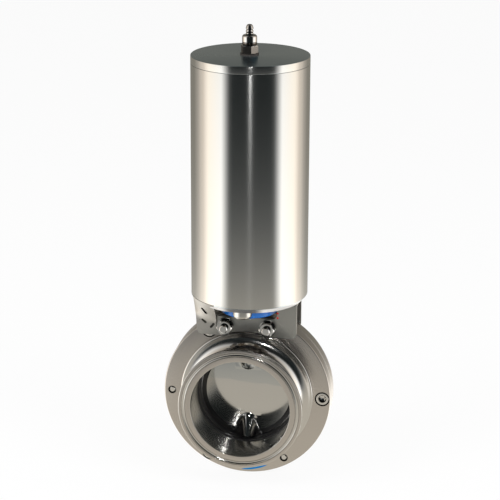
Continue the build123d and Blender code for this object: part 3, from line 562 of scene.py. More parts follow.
def painted_shadow_mask(group, place):
    """Painted shadow: the front middle of a ring about the stem, where it faces its own shadow, as a mask
    for darkening.
    """
    turn = maths(group, "ARCTAN2", place["X"], maths(group, "MULTIPLY", place["Y"], -1.0))
    away = maths(group, "ABSOLUTE", maths(group, "SUBTRACT", turn, SHADOW_TURN))
    return maths(group, "MULTIPLY", soft_step(group, away, SHADOW_OUTER, SHADOW_INNER), SHADOW_SHARE)


def painted_reflection_mask(group, place):
    """Painted reflection: a tone on the upper disc, with a wavy lower edge drawn by a wide noise."""
    wave = noise(group, stretched(group, (1, 1, 1)), REFLECTION_WAVE_SCALE, 1.0, 0.4)
    height = maths(group, "MULTIPLY_ADD", wave, REFLECTION_WAVE, place["Z"])
    return maths(group, "MULTIPLY", soft_step(group, height, REFLECTION_LOW, REFLECTION_HIGH), REFLECTION_SHARE)


SMUDGES = smudge_group()
RING_GRAIN = grain_group("grain round the tube", (6.0, 6.0, 9000.0))
SHEET_GRAIN = grain_group("rolled sheet grain", (60.0, 60.0, 60.0))
STEM_TURNED = turning_group("turning marks about the stem", (1, 1, 0))
BORE_TURNED = turning_group("turning marks about the bore", (1, 0, 1))


def new_material(name):
    """A material with its node tree and its shader."""
    material = bpy.data.materials.new(name)
    material.use_nodes = True
    return material, material.node_tree, material.node_tree.nodes["Principled BSDF"]


def toned(tree, shader, colour, light):
    """Gives the shader a colour that a pattern makes lighter and darker."""
    shade = tree.nodes.new("ShaderNodeVectorMath")
    shade.operation = "SCALE"
    shade.inputs[0].default_value = colour
    tree.links.new(light, shade.inputs["Scale"])
    tree.links.new(shade.outputs["Vector"], shader.inputs["Base Color"])


def bumped(tree, shader, height, depth):
    """Lets a pattern tilt the surface, as if it were as deep as the given micrometres."""
    bump = tree.nodes.new("ShaderNodeBump")
    bump.inputs["Strength"].default_value = 1.0
    bump.inputs["Distance"].default_value = depth * MM * MM
    tree.links.new(height, bump.inputs["Height"])
    tree.links.new(bump.outputs["Normal"], shader.inputs["Normal"])


def metal(
    name, colour, roughness, marks=None, depth=0, tone=0.05, smudge=0.05, smudge_scale=30.0,
    spread=0.0, tangent="", metallic=1.0,
):
    """Metal with tool marks, cloudy handling marks and, where asked, a drawn-out highlight.

    A cloud roughens the metal by its value and darkens it by half of that. A tool mark lightens it
    by its tone and roughens it by half of that.
    """
    material, tree, shader = new_material(name)
    shader.inputs["Metallic"].default_value = metallic
    shader.inputs["Anisotropic"].default_value = spread
    if tangent:
        direction = tree.nodes.new("ShaderNodeTangent")
        direction.direction_type = "RADIAL"
        direction.axis = tangent
        tree.links.new(direction.outputs["Tangent"], shader.inputs["Tangent"])
        shader.inputs["Anisotropic Rotation"].default_value = 0.25
    cloud = placed_group(tree, SMUDGES, Scale=smudge_scale, Amount=smudge)["Value"]
    rough = maths(tree, "ADD", cloud, roughness)
    light = maths(tree, "MULTIPLY_ADD", cloud, -0.5, 1.0)
    if marks:
        lines = placed_group(tree, marks, Tone=tone)
        light = maths(tree, "ADD", light, lines["Tone"])
        rough = maths(tree, "ADD", rough, maths(tree, "MULTIPLY", lines["Tone"], 0.5))
        bumped(tree, shader, lines["Height"], depth)
    toned(tree, shader, colour, light)
    tree.links.new(maths(tree, "MAXIMUM", rough, 0.02), shader.inputs["Roughness"])
    return material


def moulded(name, colour, roughness, depth=20, skin_scale=900.0):
    """Rubber or plastic with a fine moulded skin and faint handling marks."""
    material, tree, shader = new_material(name)
    cloud = placed_group(tree, SMUDGES, Scale=60.0, Amount=0.06)["Value"]
    bumped(tree, shader, noise(tree, stretched(tree, (1, 1, 1)), skin_scale), depth)
    toned(tree, shader, colour, maths(tree, "MULTIPLY_ADD", cloud, 1.5, 1.0))
    tree.links.new(maths(tree, "ADD", cloud, roughness), shader.inputs["Roughness"])
    return material


def recolour(tree, share, colour):
    """Blends a second colour into a material's own by a share."""
    own = tree.nodes["Principled BSDF"].inputs["Base Color"]
    tree.links.new(mixed(tree, "MIX", share, own.links[0].from_socket, (*colour, 1)), own)


def paint_shade_in_mirrors(material, colour):
    """Paints the material a darker colour for glossy rays only: a painted shade that polished neighbours
    see in their reflections.
    """
    tree = material.node_tree
    recolour(tree, tree.nodes.new("ShaderNodeLightPath").outputs["Is Glossy Ray"], colour)


def tint(material, mask, colour):
    """Blends a second colour into a metal where a mask group says."""
    tree = material.node_tree
    recolour(tree, placed_group(tree, mask)["Mask"], colour)


# Metals, with the depth of their marks in micrometres
TUBE_STEEL = metal(
    "satin tube", (0.66, 0.66, 0.64), 0.20, RING_GRAIN, depth=1.5, smudge=0.04, smudge_scale=18.0,
    spread=0.95, tangent="Z",
)
CHAMFER_STEEL = metal("bright cut edge", (0.96, 0.95, 0.93), 0.38, STEM_TURNED, depth=2, metallic=0.35)
CAP_STEEL = metal(
    "turned cap", (0.60, 0.70, 0.745), 0.26, STEM_TURNED, depth=2, tone=0.06, spread=0.5, tangent="Z",
)
POLISHED = metal("mirror polish", (0.74, 0.73, 0.71), 0.15, smudge=0.03, smudge_scale=40.0)
FACED = metal("satin faced steel", (0.66, 0.63, 0.60), 0.24, BORE_TURNED, depth=2, smudge_scale=40.0)
BORED = metal(
    "bored steel", (0.66, 0.65, 0.62), 0.22, smudge=0.04, smudge_scale=40.0, spread=0.8, tangent="Y",
)
# Painted shade: a near-black finish for hole walls, guard slots, screw sockets and the guard screws,
# standing in for the shade in these recesses.
PAINTED_SHADE = metal("painted shade in recesses", (0.10, 0.10, 0.09), 0.45, smudge_scale=80.0)
DISC_POLISH = metal("polished disc", (0.66, 0.66, 0.65), 0.10, smudge=0.03, smudge_scale=40.0)
GUARD_STEEL = metal(
    "satin guard", (0.64, 0.63, 0.60), 0.52, SHEET_GRAIN, depth=20, smudge=0.08, smudge_scale=60.0,
)
PLATE_STEEL = metal(
    "satin sheet", (0.68, 0.68, 0.65), 0.33, SHEET_GRAIN, depth=20, smudge=0.06, smudge_scale=50.0,
)
SCREW_STEEL = metal("bright fastener", (0.76, 0.76, 0.75), 0.10, SHEET_GRAIN, depth=10, smudge_scale=80.0)
SPRING_STEEL = metal("dark spring steel", (0.28, 0.29, 0.31), 0.3, SHEET_GRAIN, depth=10, tone=0.08)
SHAFT_STEEL = metal("ground shaft", (0.60, 0.60, 0.59), 0.18, RING_GRAIN, depth=1, tone=0.04)
BRONZE = metal("bearing bronze", (0.55, 0.38, 0.18), 0.32, SHEET_GRAIN, depth=10, tone=0.08)
PISTON_METAL = metal("turned aluminium", (0.76, 0.77, 0.78), 0.25, RING_GRAIN, depth=1, tone=0.04)
NICKEL = metal("bright nickel", (0.72, 0.70, 0.68), 0.07, smudge=0.03, smudge_scale=90.0)
VENT_METAL = metal("satin breather", (0.72, 0.71, 0.68), 0.30, SHEET_GRAIN, depth=10, smudge_scale=80.0)

# Rubber, plastic and fibre
RUBBER = moulded("seat rubber", (0.012, 0.012, 0.013), 0.32)
RING_RUBBER = moulded("ring rubber", (0.02, 0.02, 0.02), 0.45)
BUSH_PLASTIC = moulded("bearing plastic", (0.80, 0.79, 0.74), 0.45)
BLUE_PLASTIC = moulded("indicator blue", (0.02, 0.19, 0.66), 0.25)
RED_PLASTIC = moulded("indicator red", (0.55, 0.02, 0.015), 0.3)
FIBRE = moulded("sealing fibre", (0.05, 0.045, 0.042), 0.5, depth=40, skin_scale=1500.0)

# Painted shade in reflections: these materials show darker colours to glossy rays, so their mirrored
# images look shaded.
paint_shade_in_mirrors(BLUE_PLASTIC, (0.03, 0.032, 0.034))
paint_shade_in_mirrors(SCREW_STEEL, (0.10, 0.095, 0.09))
paint_shade_in_mirrors(CAP_STEEL, (0.13, 0.11, 0.09))
paint_shade_in_mirrors(PLATE_STEEL, (0.25, 0.24, 0.22))
paint_shade_in_mirrors(NICKEL, (0.004, 0.016, 0.022))
FACED_FRONT = FACED.copy()
FACED_FRONT.name = "satin faced steel with a trace"
tint(FACED_FRONT, mask_group("trace on the flange", trace_mask), (0.0, 0.34, 1.0))
# Painted shadow on the front of the cover's chamfer.
tint(CHAMFER_STEEL, mask_group("painted shadow under the cover", painted_shadow_mask), (0.06, 0.06, 0.06))
# Painted reflection: a cooler, darker tone on the upper disc.
tint(DISC_POLISH, mask_group("painted reflection on the disc", painted_reflection_mask), (0.56, 0.59, 0.60))

NODE_FINISHES = [
    (POLISHED, "body_half_front", "body_half_rear"),
    (RUBBER, "seat"),
    (DISC_POLISH, "disc_and_stem"),
    (BUSH_PLASTIC, "upper_stem_bush", "lower_stem_bush", "thrust_washer", "guide_band"),
    (RING_RUBBER, "stem_o_ring", "cover_o_ring", "cap_o_ring", "shaft_wiper", "piston_seal"),
    (SCREW_STEEL, "front_body_screws", "rear_body_screws", "bracket_bolts", "bracket_nuts"),
    (SCREW_STEEL, "bracket_washers", "bracket_fixing_screws", "rod_nut"),
    (PLATE_STEEL, "bracket_plate_front", "bracket_plate_rear"),
    (GUARD_STEEL, "switch_guard"),
    # Painted shade: the guard screws behind the slots get the near-black finish.
    (PAINTED_SHADE, "guard_screws"),
    (TUBE_STEEL, "actuator_tube"),
    (CAP_STEEL, "bottom_cover", "top_cap"),
    (SPRING_STEEL, "cover_snap_ring", "cap_snap_ring", "shaft_circlip", "return_spring"),
    (FIBRE, "sealing_washer"),
    (NICKEL, "air_fitting_base", "air_nipple"),
    (VENT_METAL, "vent_plug"),
    (SHAFT_STEEL, "cam_shaft", "guide_rods", "piston_rod", "cross_pin"),
    (BRONZE, "shaft_bearing"),
    (BLUE_PLASTIC, "indicator_ring"),
    (RED_PLASTIC, "indicator_marks"),
    (PISTON_METAL, "piston"),
]
for finish, *node_names in NODE_FINISHES:
    for node_name in node_names:
        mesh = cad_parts[node_name].data
        mesh.materials.clear()
        mesh.materials.append(finish)


# Actuator


def outer_wall(centre, normal):
    """The faces round the outside of the cap, which has the tube's finish there."""
    return (np.abs(normal[:, 2]) < 0.5) & (np.hypot(centre[:, 0], centre[:, 1]) > TUBE_R - 1)


def chamfer(centre, normal):
    """The faces that slope down and outwards."""
    return (normal[:, 2] > -0.95) & (normal[:, 2] < -0.3)


tube_profile = chain(
    (TUBE_BORE_R, TUBE_BOTTOM),
    (TUBE_R - RIM_STEP, TUBE_BOTTOM),
    arc((TUBE_R - RIM_STEP, TUBE_BOTTOM + RIM_STEP), RIM_STEP, -90, 0, steps=4),
    arc((TUBE_R - RIM_STEP, TUBE_TOP - RIM_STEP), RIM_STEP, 0, 90, steps=4),
    (TUBE_BORE_R, TUBE_TOP),
)
mesh_piece(
    "tube_shell", "housing", [(turned(tube_profile), RING)], TUBE_STEEL,
    replaces=("actuator_tube",),
)

cap_profile = chain(
    (0, CAP_BOTTOM),
    (TUBE_BORE_R - FIT, CAP_BOTTOM),
    (TUBE_BORE_R - FIT, TUBE_TOP),
    (TUBE_R - RIM_STEP, TUBE_TOP),
    arc((TUBE_R - RIM_STEP, TUBE_TOP + RIM_STEP), RIM_STEP, -90, 0, steps=4),
    arc((TUBE_R - CAP_EDGE, CAP_FACE - CAP_EDGE), CAP_EDGE, 0, 90, steps=6),
    (0, CAP_FACE),
)
cap = mesh_piece(
    "cap_lid", "housing", [(turned(cap_profile), BAR)], CAP_STEEL,
    replaces=("top_cap",),
)
give_faces(cap, TUBE_STEEL, outer_wall)

cover_profile = chain(
    (COVER_BORE_R, COVER_BOTTOM),
    (TUBE_R - COVER_CHAMFER, COVER_BOTTOM),
    (TUBE_R - RIM_STEP, TUBE_BOTTOM - RIM_STEP),
    (TUBE_R - RIM_STEP, TUBE_BOTTOM),
    (TUBE_BORE_R - FIT, TUBE_BOTTOM),
    (TUBE_BORE_R - FIT, COVER_TOP),
    (COVER_BORE_R, COVER_TOP),
)
cover = mesh_piece(
    "cover_shell", "housing", [(turned(cover_profile), RING)], CAP_STEEL,
    replaces=("bottom_cover",),
)
give_faces(cover, CHAMFER_STEEL, chamfer)


def spring_surface():
    """Return spring over (turn, section): a rectangle carried up a helix about the stem."""
    turn = np.linspace(0, 2 * math.pi * SPRING_TURNS, SPRING_STEPS * SPRING_TURNS + 1)[:, None]
    end = SPRING_END_GAP + SPRING_HEIGHT / 2
    low = SPRING_FLOOR + end
    rise = (SPRING_CEILING - end - low) * turn / turn[-1]
    radius = SPRING_R + SPRING_WIDTH / 2 * np.array([[0, -1, 1, 1, -1]])
    height = low + rise + SPRING_HEIGHT / 2 * np.array([[0, -1, -1, 1, 1]])
    points = np.stack([radius * np.cos(turn), radius * np.sin(turn), height], axis=-1)
    first = np.repeat(points[:1, :1], 4, axis=1)
    last = np.repeat(points[-1:, :1], 4, axis=1)
    return np.concatenate([first, points[:, 1:], last])


spring = mesh_piece(
    "spring_coil", "housing", [(spring_surface(), COIL)], SPRING_STEEL,
    sharp=30.0, replaces=("return_spring",),
)
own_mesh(spring)


# Valve body


def body_profile():
    """Outline of one body half as (radius, y), from the seat pocket round the outside and back."""
    rim_back = FERRULE_FACE - FERRULE_RIM
    slope = (FERRULE_R - NECK_R) * FERRULE_SLOPE
    return chain(
        (SEAT_OUTER_R + FIT, 0),
        (FLANGE_R - JOINT_EDGE, 0),
        (FLANGE_R, -JOINT_EDGE),
        arc((FLANGE_R - RIM_EDGE, RIM_EDGE - HALF), RIM_EDGE, 0, -90),
        (HUB_R, -HALF),
        arc((HUB_R - HUB_EDGE, HUB_EDGE - HUB_TOP), HUB_EDGE, 0, -90),
        arc((NECK_R + FLARE, -HUB_TOP - FLARE), FLARE, 90, 180, steps=20),
        (NECK_R, slope - rim_back),
        (FERRULE_R, -rim_back),
        arc((FERRULE_R - FERRULE_EDGE, FERRULE_EDGE - FERRULE_FACE), FERRULE_EDGE, 0, -90),
        arc((GROOVE_R, -FERRULE_FACE), GROOVE_HALF, 0, 180, steps=12),
        arc((PORT_R + PORT_EDGE, PORT_EDGE - FERRULE_FACE), PORT_EDGE, -90, -180, steps=4),
        (PORT_R, -SEAT_HALF - FIT),
        (SEAT_SHOULDER_R + FIT, -SEAT_HALF - FIT),
        (SEAT_SHOULDER_R + FIT, -SEAT_BODY_HALF - FIT),
        (SEAT_OUTER_R + FIT, -SEAT_BODY_HALF - FIT),
    )


def faced(centre, normal, sign):
    """The flat flange face, the rim and the ferrule lands, without the holes in them."""
    radius = np.hypot(centre[:, 0], centre[:, 2])
    depth = -sign * centre[:, 1]
    front = np.abs(depth - HALF) < NEAR
    flange = (radius > HUB_R - NEAR) & (front | (radius > FLANGE_R - RIM_EDGE))
    lands = (depth > FERRULE_FACE - NEAR) & (np.abs(normal[:, 1]) > 0.99)
    return (depth < HALF + NEAR) & flange | lands


def bored(centre, normal):
    """The wall of the port."""
    return np.hypot(centre[:, 0], centre[:, 2]) < PORT_R + NEAR


def body_half(name, node, sign, face_finish):
    """One half with its counterbores and threaded holes by turns; sign is 1 in front, -1 behind."""
    sharp = 24.0
    surface = turned(body_profile() * (1, sign), "Y")
    piece = mesh_piece(name, "housing", [(surface, RING)], POLISHED, sharp, (node,))
    cutters = []
    for index in range(6):
        angle = math.radians(60.0 * index)
        centre = (sign * SCREW_CIRCLE_R * math.cos(angle), SCREW_CIRCLE_R * math.sin(angle))
        counterbored = index % 2 == 0
        radius = COUNTERBORE_R if counterbored else THREAD_HOLE_R
        depth = COUNTERBORE_DEPTH if counterbored else THREAD_HOLE_DEPTH
        bar = rod(radius, -sign * (HALF + 1), sign * (depth - HALF), centre)
        # The hole walls take the cutter's painted shade.
        cutters.append(cutter("hole", bar))
    cut_out(piece, cutters, sharp)
    give_faces(piece, face_finish, lambda centre, normal: faced(centre, normal, sign))
    give_faces(piece, BORED, bored)


body_half("front_half", "body_half_front", 1.0, FACED_FRONT)
body_half("rear_half", "body_half_rear", -1.0, FACED)

seat_half = chain(
    (SEAT_R, SEAT_GROOVE_AT - SEAT_GROOVE_HALF),
    (SEAT_R + SEAT_GROOVE, SEAT_GROOVE_AT),
    (SEAT_R, SEAT_GROOVE_AT + SEAT_GROOVE_HALF),
    (SEAT_R, SEAT_HALF - SEAT_GROOVE),
    arc((SEAT_R + SEAT_GROOVE, SEAT_HALF - SEAT_GROOVE), SEAT_GROOVE, 180, 90, steps=5),
    (SEAT_SHOULDER_R, SEAT_HALF),
    (SEAT_SHOULDER_R, SEAT_BODY_HALF),
    (SEAT_OUTER_R, SEAT_BODY_HALF),
)
seat_profile = chain(seat_half, seat_half[::-1] * (1, -1))
mesh_piece(
    "seat_ring", "housing", [(turned(seat_profile, "Y"), RING)], RUBBER,
    sharp=30.0, replaces=("seat",),
)


def screw_surface(x, z, sign):
    """A socket-head screw over (angle, path): circles all along, but a hexagon inside the socket.

    The path runs from the socket's drilled point out over the head and down to the chamfered end.
    """
    turn = np.linspace(0, 2 * math.pi, 60, endpoint=False)[:, None]
    socket_path = [SOCKET_DEPTH, SOCKET_BEVEL]
    outside = chain(
        (SOCKET_MOUTH_R, 0),
        (HEAD_R - HEAD_EDGE, 0),
        arc((HEAD_R - HEAD_EDGE, HEAD_EDGE), HEAD_EDGE, -90, 0, steps=4),
        (HEAD_R, HEAD_HEIGHT),
        (SCREW_R, HEAD_HEIGHT),
        (SCREW_R, SCREW_LENGTH - SCREW_END_SLOPE),
        (SCREW_END_R, SCREW_LENGTH),
        (0, SCREW_LENGTH),
    )
    socket = np.repeat(hexagon_radius(turn, SOCKET_HALF), len(socket_path), axis=1)
    round_part = np.broadcast_to(outside[None, :, 0], (len(turn), len(outside)))
    radius = np.concatenate([np.zeros_like(turn), socket, round_part], axis=1)
    along = np.concatenate([[SOCKET_DEPTH + SOCKET_POINT], socket_path, outside[:, 1]])
    along = np.broadcast_to(sign * (along - SCREW_FACE), radius.shape)
    return np.stack([x + radius * np.cos(turn), along, z + radius * np.sin(turn)], axis=-1)


def body_screws(name, node, sign):
    """The three screws of one side, with painted shade on the walls of their sockets."""
    turns = [math.radians(angle) for angle in SCREW_ANGLES]
    places = [(sign * SCREW_CIRCLE_R * math.cos(turn), SCREW_CIRCLE_R * math.sin(turn)) for turn in turns]
    grids = [(screw_surface(x, z, sign), BAR) for x, z in places]
    piece = mesh_piece(name, "housing", grids, SCREW_STEEL, 30.0, (node,))

    def socket_walls(centre, normal):
        depth = SCREW_FACE + sign * centre[:, 1]
        near = np.min([np.hypot(centre[:, 0] - x, centre[:, 2] - z) for x, z in places], axis=0)
        return (near < SOCKET_MOUTH_R) & (depth > NEAR) & (depth < SOCKET_DEPTH - NEAR)

    give_faces(piece, PAINTED_SHADE, socket_walls)


body_screws("front_screws", "front_body_screws", 1.0)
body_screws("rear_screws", "rear_body_screws", -1.0)


# Disc


def plate_height(radius):
    """Half thickness of the disc: a shallow crown to the bevel, then a straight bevel to the edge."""
    crown = DISC_MID - (DISC_MID - DISC_BEVEL_Y) * np.clip(radius / DISC_BEVEL_R, 0, 1) ** 2
    part = np.clip((radius - DISC_BEVEL_R) / (DISC_FACE_R - DISC_BEVEL_R), 0, 1)
    bevel = DISC_BEVEL_Y + (DISC_EDGE_Y - DISC_BEVEL_Y) * part
    return np.where(radius < DISC_BEVEL_R, crown, bevel)


def hub_height(x, z):
    """Bell-shaped hub: its width and height grow in step from its start to the rim.

    Across the disc it falls off from the middle as half of one plus the cosine, raised to a power,
    and beyond its width it runs down under the plate. Its middle rises steeply from a rounded nose,
    whose start lies further out by the square of the distance to the side.
    """
    rise = np.clip((np.abs(z) - HUB_START) / (DISC_R - HUB_START), 0, 1)
    width = HUB_TOP_WIDTH + (HUB_WIDTH - HUB_TOP_WIDTH) * rise
    edge = HUB_TOP_Y + (HUB_EDGE_Y - HUB_TOP_Y) * rise
    behind = np.clip((np.abs(z) - HUB_START - HUB_BOW * x**2) / (DISC_R - HUB_START), 0, 1)
    middle = np.maximum(HUB_TOP_Y + (HUB_Y - HUB_TOP_Y) * behind**HUB_NOSE, edge)
    bell = (0.5 * (1 + np.cos(math.pi * np.clip(np.abs(x) / width, 0, 1)))) ** HUB_PEAK
    return edge + (middle - edge) * bell - HUB_FALL * np.clip(np.abs(x) - width, 0, None)


def disc_half(side):
    """Height over a polar grid: the higher of plate and hub, with a fillet between them.

    The fillet adds the square of how close the two heights are. The hub's end lies on a sphere of
    the disc's radius, so that it can turn in the seat. The grid is finer where the hubs and the
    bevel are.
    """
    flat = np.linspace(0, DISC_PLAIN_R, 8)
    crown = np.linspace(DISC_PLAIN_R, DISC_BEVEL_R, 48)[1:]
    bevel = np.linspace(DISC_BEVEL_R, DISC_FACE_R, 26)[1:]
    rings = np.concatenate([flat, crown, bevel])
    fine = np.linspace(-HUB_TURN, HUB_TURN, 121)[:-1]
    plain = np.linspace(HUB_TURN, 180 - HUB_TURN, 85)[:-1]
    turn = np.radians(np.concatenate([fine + 90, plain + 90, fine + 270, plain + 270]))[:, None]
    x = rings[None, :] * np.cos(turn)
    z = rings[None, :] * np.sin(turn)
    plate = np.broadcast_to(plate_height(rings)[None, :], x.shape)
    hub = hub_height(x, z)
    close = np.clip(HUB_BLEND - np.abs(hub - plate), 0, None)
    inside = np.clip((np.abs(z) - HUB_START) / HUB_BLEND_LENGTH, 0, 1)
    joined = np.maximum(plate, hub) + inside * close**2 / (4 * HUB_BLEND)
    height = np.where(np.abs(z) > HUB_START, joined, plate)
    ball = np.sqrt(np.maximum(DISC_R**2 - rings**2, 0))[None, :]
    height = np.minimum(height, np.maximum(ball, plate))
    return np.stack([x, side * height, z], axis=-1)


def disc_rim(front, back):
    """Band that joins the outer edges of the two faces through the disc's full radius."""
    middle = (front[:, -1] + back[:, -1]) / 2
    middle = middle * (DISC_R / np.hypot(middle[:, 0], middle[:, 2])[:, None])
    return np.stack([front[:, -1], middle, back[:, -1]], axis=1)


def stem_part(low, high):
    """A length of the round stem."""
    return turned(chain((0, low), (STEM_R, low), (STEM_R, high), (0, high)), "Z", 96)


disc_front = disc_half(-1.0)
disc_back = disc_half(1.0)
disc_grids = [(disc_front, BAR), (disc_back, BAR), (disc_rim(disc_front, disc_back), BAR)]
mesh_piece("disc_plate", "rotor", disc_grids, DISC_POLISH, sharp=40.0)
stem_grids = [(stem_part(HUB_STEM, SHAFT_BOTTOM), BAR), (stem_part(STEM_BOTTOM, -HUB_STEM), BAR)]
mesh_piece(
    "stem", "rotor", stem_grids, SHAFT_STEEL, sharp=30.0, replaces=("disc_and_stem",),
)


# Switch guard


def guard_surface():
    """Outer face of the guard over (across, down): a bent sheet that follows the tube at its top.

    Each column runs straight from the tube's rim to the knee and on down the plate, with the knee
    rounded as a quadratic curve. The lower edge is a half-round drop that is deepest in the middle.
    """
    across = np.linspace(0, 1, GUARD_COLUMNS)[:, None]
    turn = np.radians(180 + GUARD_REAR + across * (GUARD_FRONT - GUARD_REAR))
    top = np.stack([TUBE_R * np.cos(turn), TUBE_R * np.sin(turn), np.full_like(turn, GUARD_TOP)], axis=-1)
    foot_x = GUARD_LEFT + across * GUARD_WIDTH
    foot_y = np.full_like(turn, GUARD_FACE)
    knee = np.stack([foot_x, foot_y, np.full_like(turn, GUARD_KNEE)], axis=-1)
    middle = GUARD_WIDTH / 2
    sideways = np.clip(np.abs(foot_x - GUARD_LEFT - middle) - (middle - GUARD_CORNER), 0, GUARD_CORNER)
    bottom = GUARD_BOTTOM + GUARD_CORNER - np.sqrt(GUARD_CORNER**2 - sideways**2)
    foot = np.stack([foot_x, foot_y, bottom], axis=-1)
    slope = top - knee
    slope = slope / np.linalg.norm(slope, axis=-1, keepdims=True)
    bend_high = knee + GUARD_BEND_HIGH * slope
    bend_low = knee - (0, 0, GUARD_BEND_LOW)
    straight = np.linspace(0, 1, 12)[None, :, None]
    curve = np.linspace(0, 1, 20)[None, :, None]
    upper = top + (bend_high - top) * straight
    bend = (1 - curve) ** 2 * bend_high + 2 * curve * (1 - curve) * knee + curve**2 * bend_low
    lower = bend_low + (foot - bend_low) * straight
    return np.concatenate([upper, bend[:, 1:], lower[:, 1:]], axis=1)


def slot_cutter(x, z, tilt, length, width, depth):
    """A flat bar with half-round ends, tilted in the plane of the plate, to cut a slot."""
    turn = np.linspace(0, 2 * math.pi, 24, endpoint=False)
    half = np.where(np.cos(turn) >= 0, 1.0, -1.0) * (length - width) / 2
    along = half + width / 2 * np.cos(turn)
    beside = width / 2 * np.sin(turn)
    lean = math.radians(tilt)
    rim_x = along * math.cos(lean) - beside * math.sin(lean)
    rim_z = along * math.sin(lean) + beside * math.cos(lean)
    rows = []
    for scale, y in ((0.0, GUARD_CUT_FROM), (1.0, GUARD_CUT_FROM), (1.0, depth), (0.0, depth)):
        rows.append(np.stack([x + scale * rim_x, np.full_like(turn, y), z + scale * rim_z], axis=-1))
    return cutter("slot", np.stack(rows, axis=1))


def guard_sheet():
    """The guard with its thickness: the outer face, an inner face behind it and the rims between."""
    sharp = 35.0
    outer = guard_surface()
    normal = np.cross(np.gradient(outer, axis=0), np.gradient(outer, axis=1))
    normal = normal / np.linalg.norm(normal, axis=-1, keepdims=True)
    normal = normal * np.where(normal[..., 1:2] > 0, 1.0, -1.0)
    inner = outer + GUARD_THICKNESS * normal
    sides = [
        outer,
        inner,
        np.stack([outer[0], inner[0]]),
        np.stack([outer[-1], inner[-1]]),
        np.stack([outer[:, 0], inner[:, 0]]),
        np.stack([outer[:, -1], inner[:, -1]]),
    ]
    sheet = mesh_piece(
        "guard_sheet", "housing", [(side, SHEET) for side in sides], GUARD_STEEL,
        sharp, replaces=("switch_guard",),
    )
    # The slot walls take the cutters' painted shade.
    cut_out(sheet, [slot_cutter(*place) for place in GUARD_SLOTS], sharp)


guard_sheet()


# Indicator ring and red dots

ring_profile = chain(
    (RING_INNER_R, SHAFT_BOTTOM),
    arc((RING_R - RING_EDGE, SHAFT_BOTTOM + RING_EDGE), RING_EDGE, -90, 0),
    arc((RING_R - RING_EDGE, RING_TOP - RING_EDGE), RING_EDGE, 0, 90),
    (RING_R - RING_WALL, RING_TOP),
    (RING_R - RING_WALL, RING_WEB),
    (RING_BOSS_R, RING_WEB),
    (RING_BOSS_R, RING_TOP),
    (RING_INNER_R, RING_TOP),
)
mesh_piece(
    "indicator_band", "rotor", [(turned(ring_profile, "Z", 192), RING)], BLUE_PLASTIC,
    sharp=30.0, replaces=("indicator_ring",),
)

dot_profile = chain(*RED_DOT_PROFILE)
dots = [(turned(dot_profile, "Y", 24, (RED_DOT_X, dot_z)), BAR) for dot_z in RED_DOT_ZS]
mesh_piece("red_dots", "housing", dots, RED_PLASTIC, sharp=50.0)


# Air fitting


def hexagon_surface():
    """The fitting's hexagon over (angle, height), its corners cut off by a cone at both ends."""
    turn = np.linspace(0, 2 * math.pi, 120, endpoint=False)[:, None]
    edge = np.linspace(0, 1, 5)
    height = np.concatenate([HEX_LOW + HEX_EDGE * edge, HEX_TOP - HEX_EDGE * edge[::-1]])
    to_end = np.clip(np.minimum(height - HEX_LOW, HEX_TOP - height) / HEX_EDGE, 0, 1)
    cone = HEX_CORNER_R - HEX_CUT * (1 - to_end)
    radius = np.minimum(hexagon_radius(turn, HEX_HALF), cone[None, :])
    low = np.full_like(turn, THREAD_R)
    none = np.zeros_like(turn)
    radius = np.concatenate([none, low, low, radius, none], axis=1)
    height = np.concatenate([[THREAD_BOTTOM, THREAD_BOTTOM, HEX_LOW], height, [HEX_TOP]])
    height = np.broadcast_to(height, radius.shape)
    place = turn + math.radians(HEX_TURN)
    return np.stack([FITTING_X + radius * np.cos(place), radius * np.sin(place), height], axis=-1)


mesh_piece(
    "fitting_hexagon", "housing", [(hexagon_surface(), BAR)], NICKEL,
    sharp=25.0, replaces=("air_fitting_base",),
)
shoulder = (FITTING_BODY_R - FITTING_SHOULDER, FITTING_SHOULDER_Z - FITTING_SHOULDER)
nipple_profile = chain(
    (0, HEX_TOP),
    (FITTING_BODY_R - FITTING_EDGE, HEX_TOP),
    (FITTING_BODY_R, HEX_TOP + FITTING_EDGE_HEIGHT),
    (FITTING_BODY_R, FITTING_GROOVE_Z - FITTING_GROOVE_HALF),
    (FITTING_BODY_R - FITTING_GROOVE, FITTING_GROOVE_Z),
    (FITTING_BODY_R, FITTING_GROOVE_Z + FITTING_GROOVE_HALF),
    arc(shoulder, FITTING_SHOULDER, 0, 90),
    (NIPPLE_NECK_R, FITTING_SHOULDER_Z),
    arc(*NIPPLE_LOW_BEAD, steps=5),
    arc(*NIPPLE_MIDDLE_BEAD, steps=5),
    NIPPLE_WAIST,
    arc(*NIPPLE_HIGH_BEAD, steps=6),
    arc(*NIPPLE_TIP, steps=7),
    (0, FITTING_TIP_Z),
)
nipple_surface = turned(nipple_profile, "Z", 96, (FITTING_X, 0.0))
mesh_piece(
    "nipple", "housing", [(nipple_surface, BAR)], NICKEL,
    sharp=40.0, replaces=("air_nipple",),
)


# Breather

vent_bottom = COVER_BOTTOM - VENT_LENGTH
vent_profile = chain(
    (VENT_HOLE_R, COVER_BOTTOM),
    (VENT_HOLE_R, vent_bottom),
    arc((VENT_R - VENT_EDGE, vent_bottom + VENT_EDGE), VENT_EDGE, -90, 0, steps=10),
    (VENT_R, COVER_BOTTOM),
)
vent_surface = turned(vent_profile, "Z", 96, (0.0, VENT_Y))
mesh_piece(
    "breather", "housing", [(vent_surface, RING)], VENT_METAL,
    sharp=30.0, replaces=("vent_plug",),
)


# Floor, light and camera

WHITE = (1, 1, 1, 1)
SOFT_GREY = (0.6, 0.6, 0.6, 1)
FLOOR_PAPER = (0.9, 0.9, 0.9, 1)
FLOOR_GLOW = 0.9

# Half the floor's side, and how far its shades reach, in metres
FLOOR_SIZE = 6.0
FLOOR_REACH = 2.0

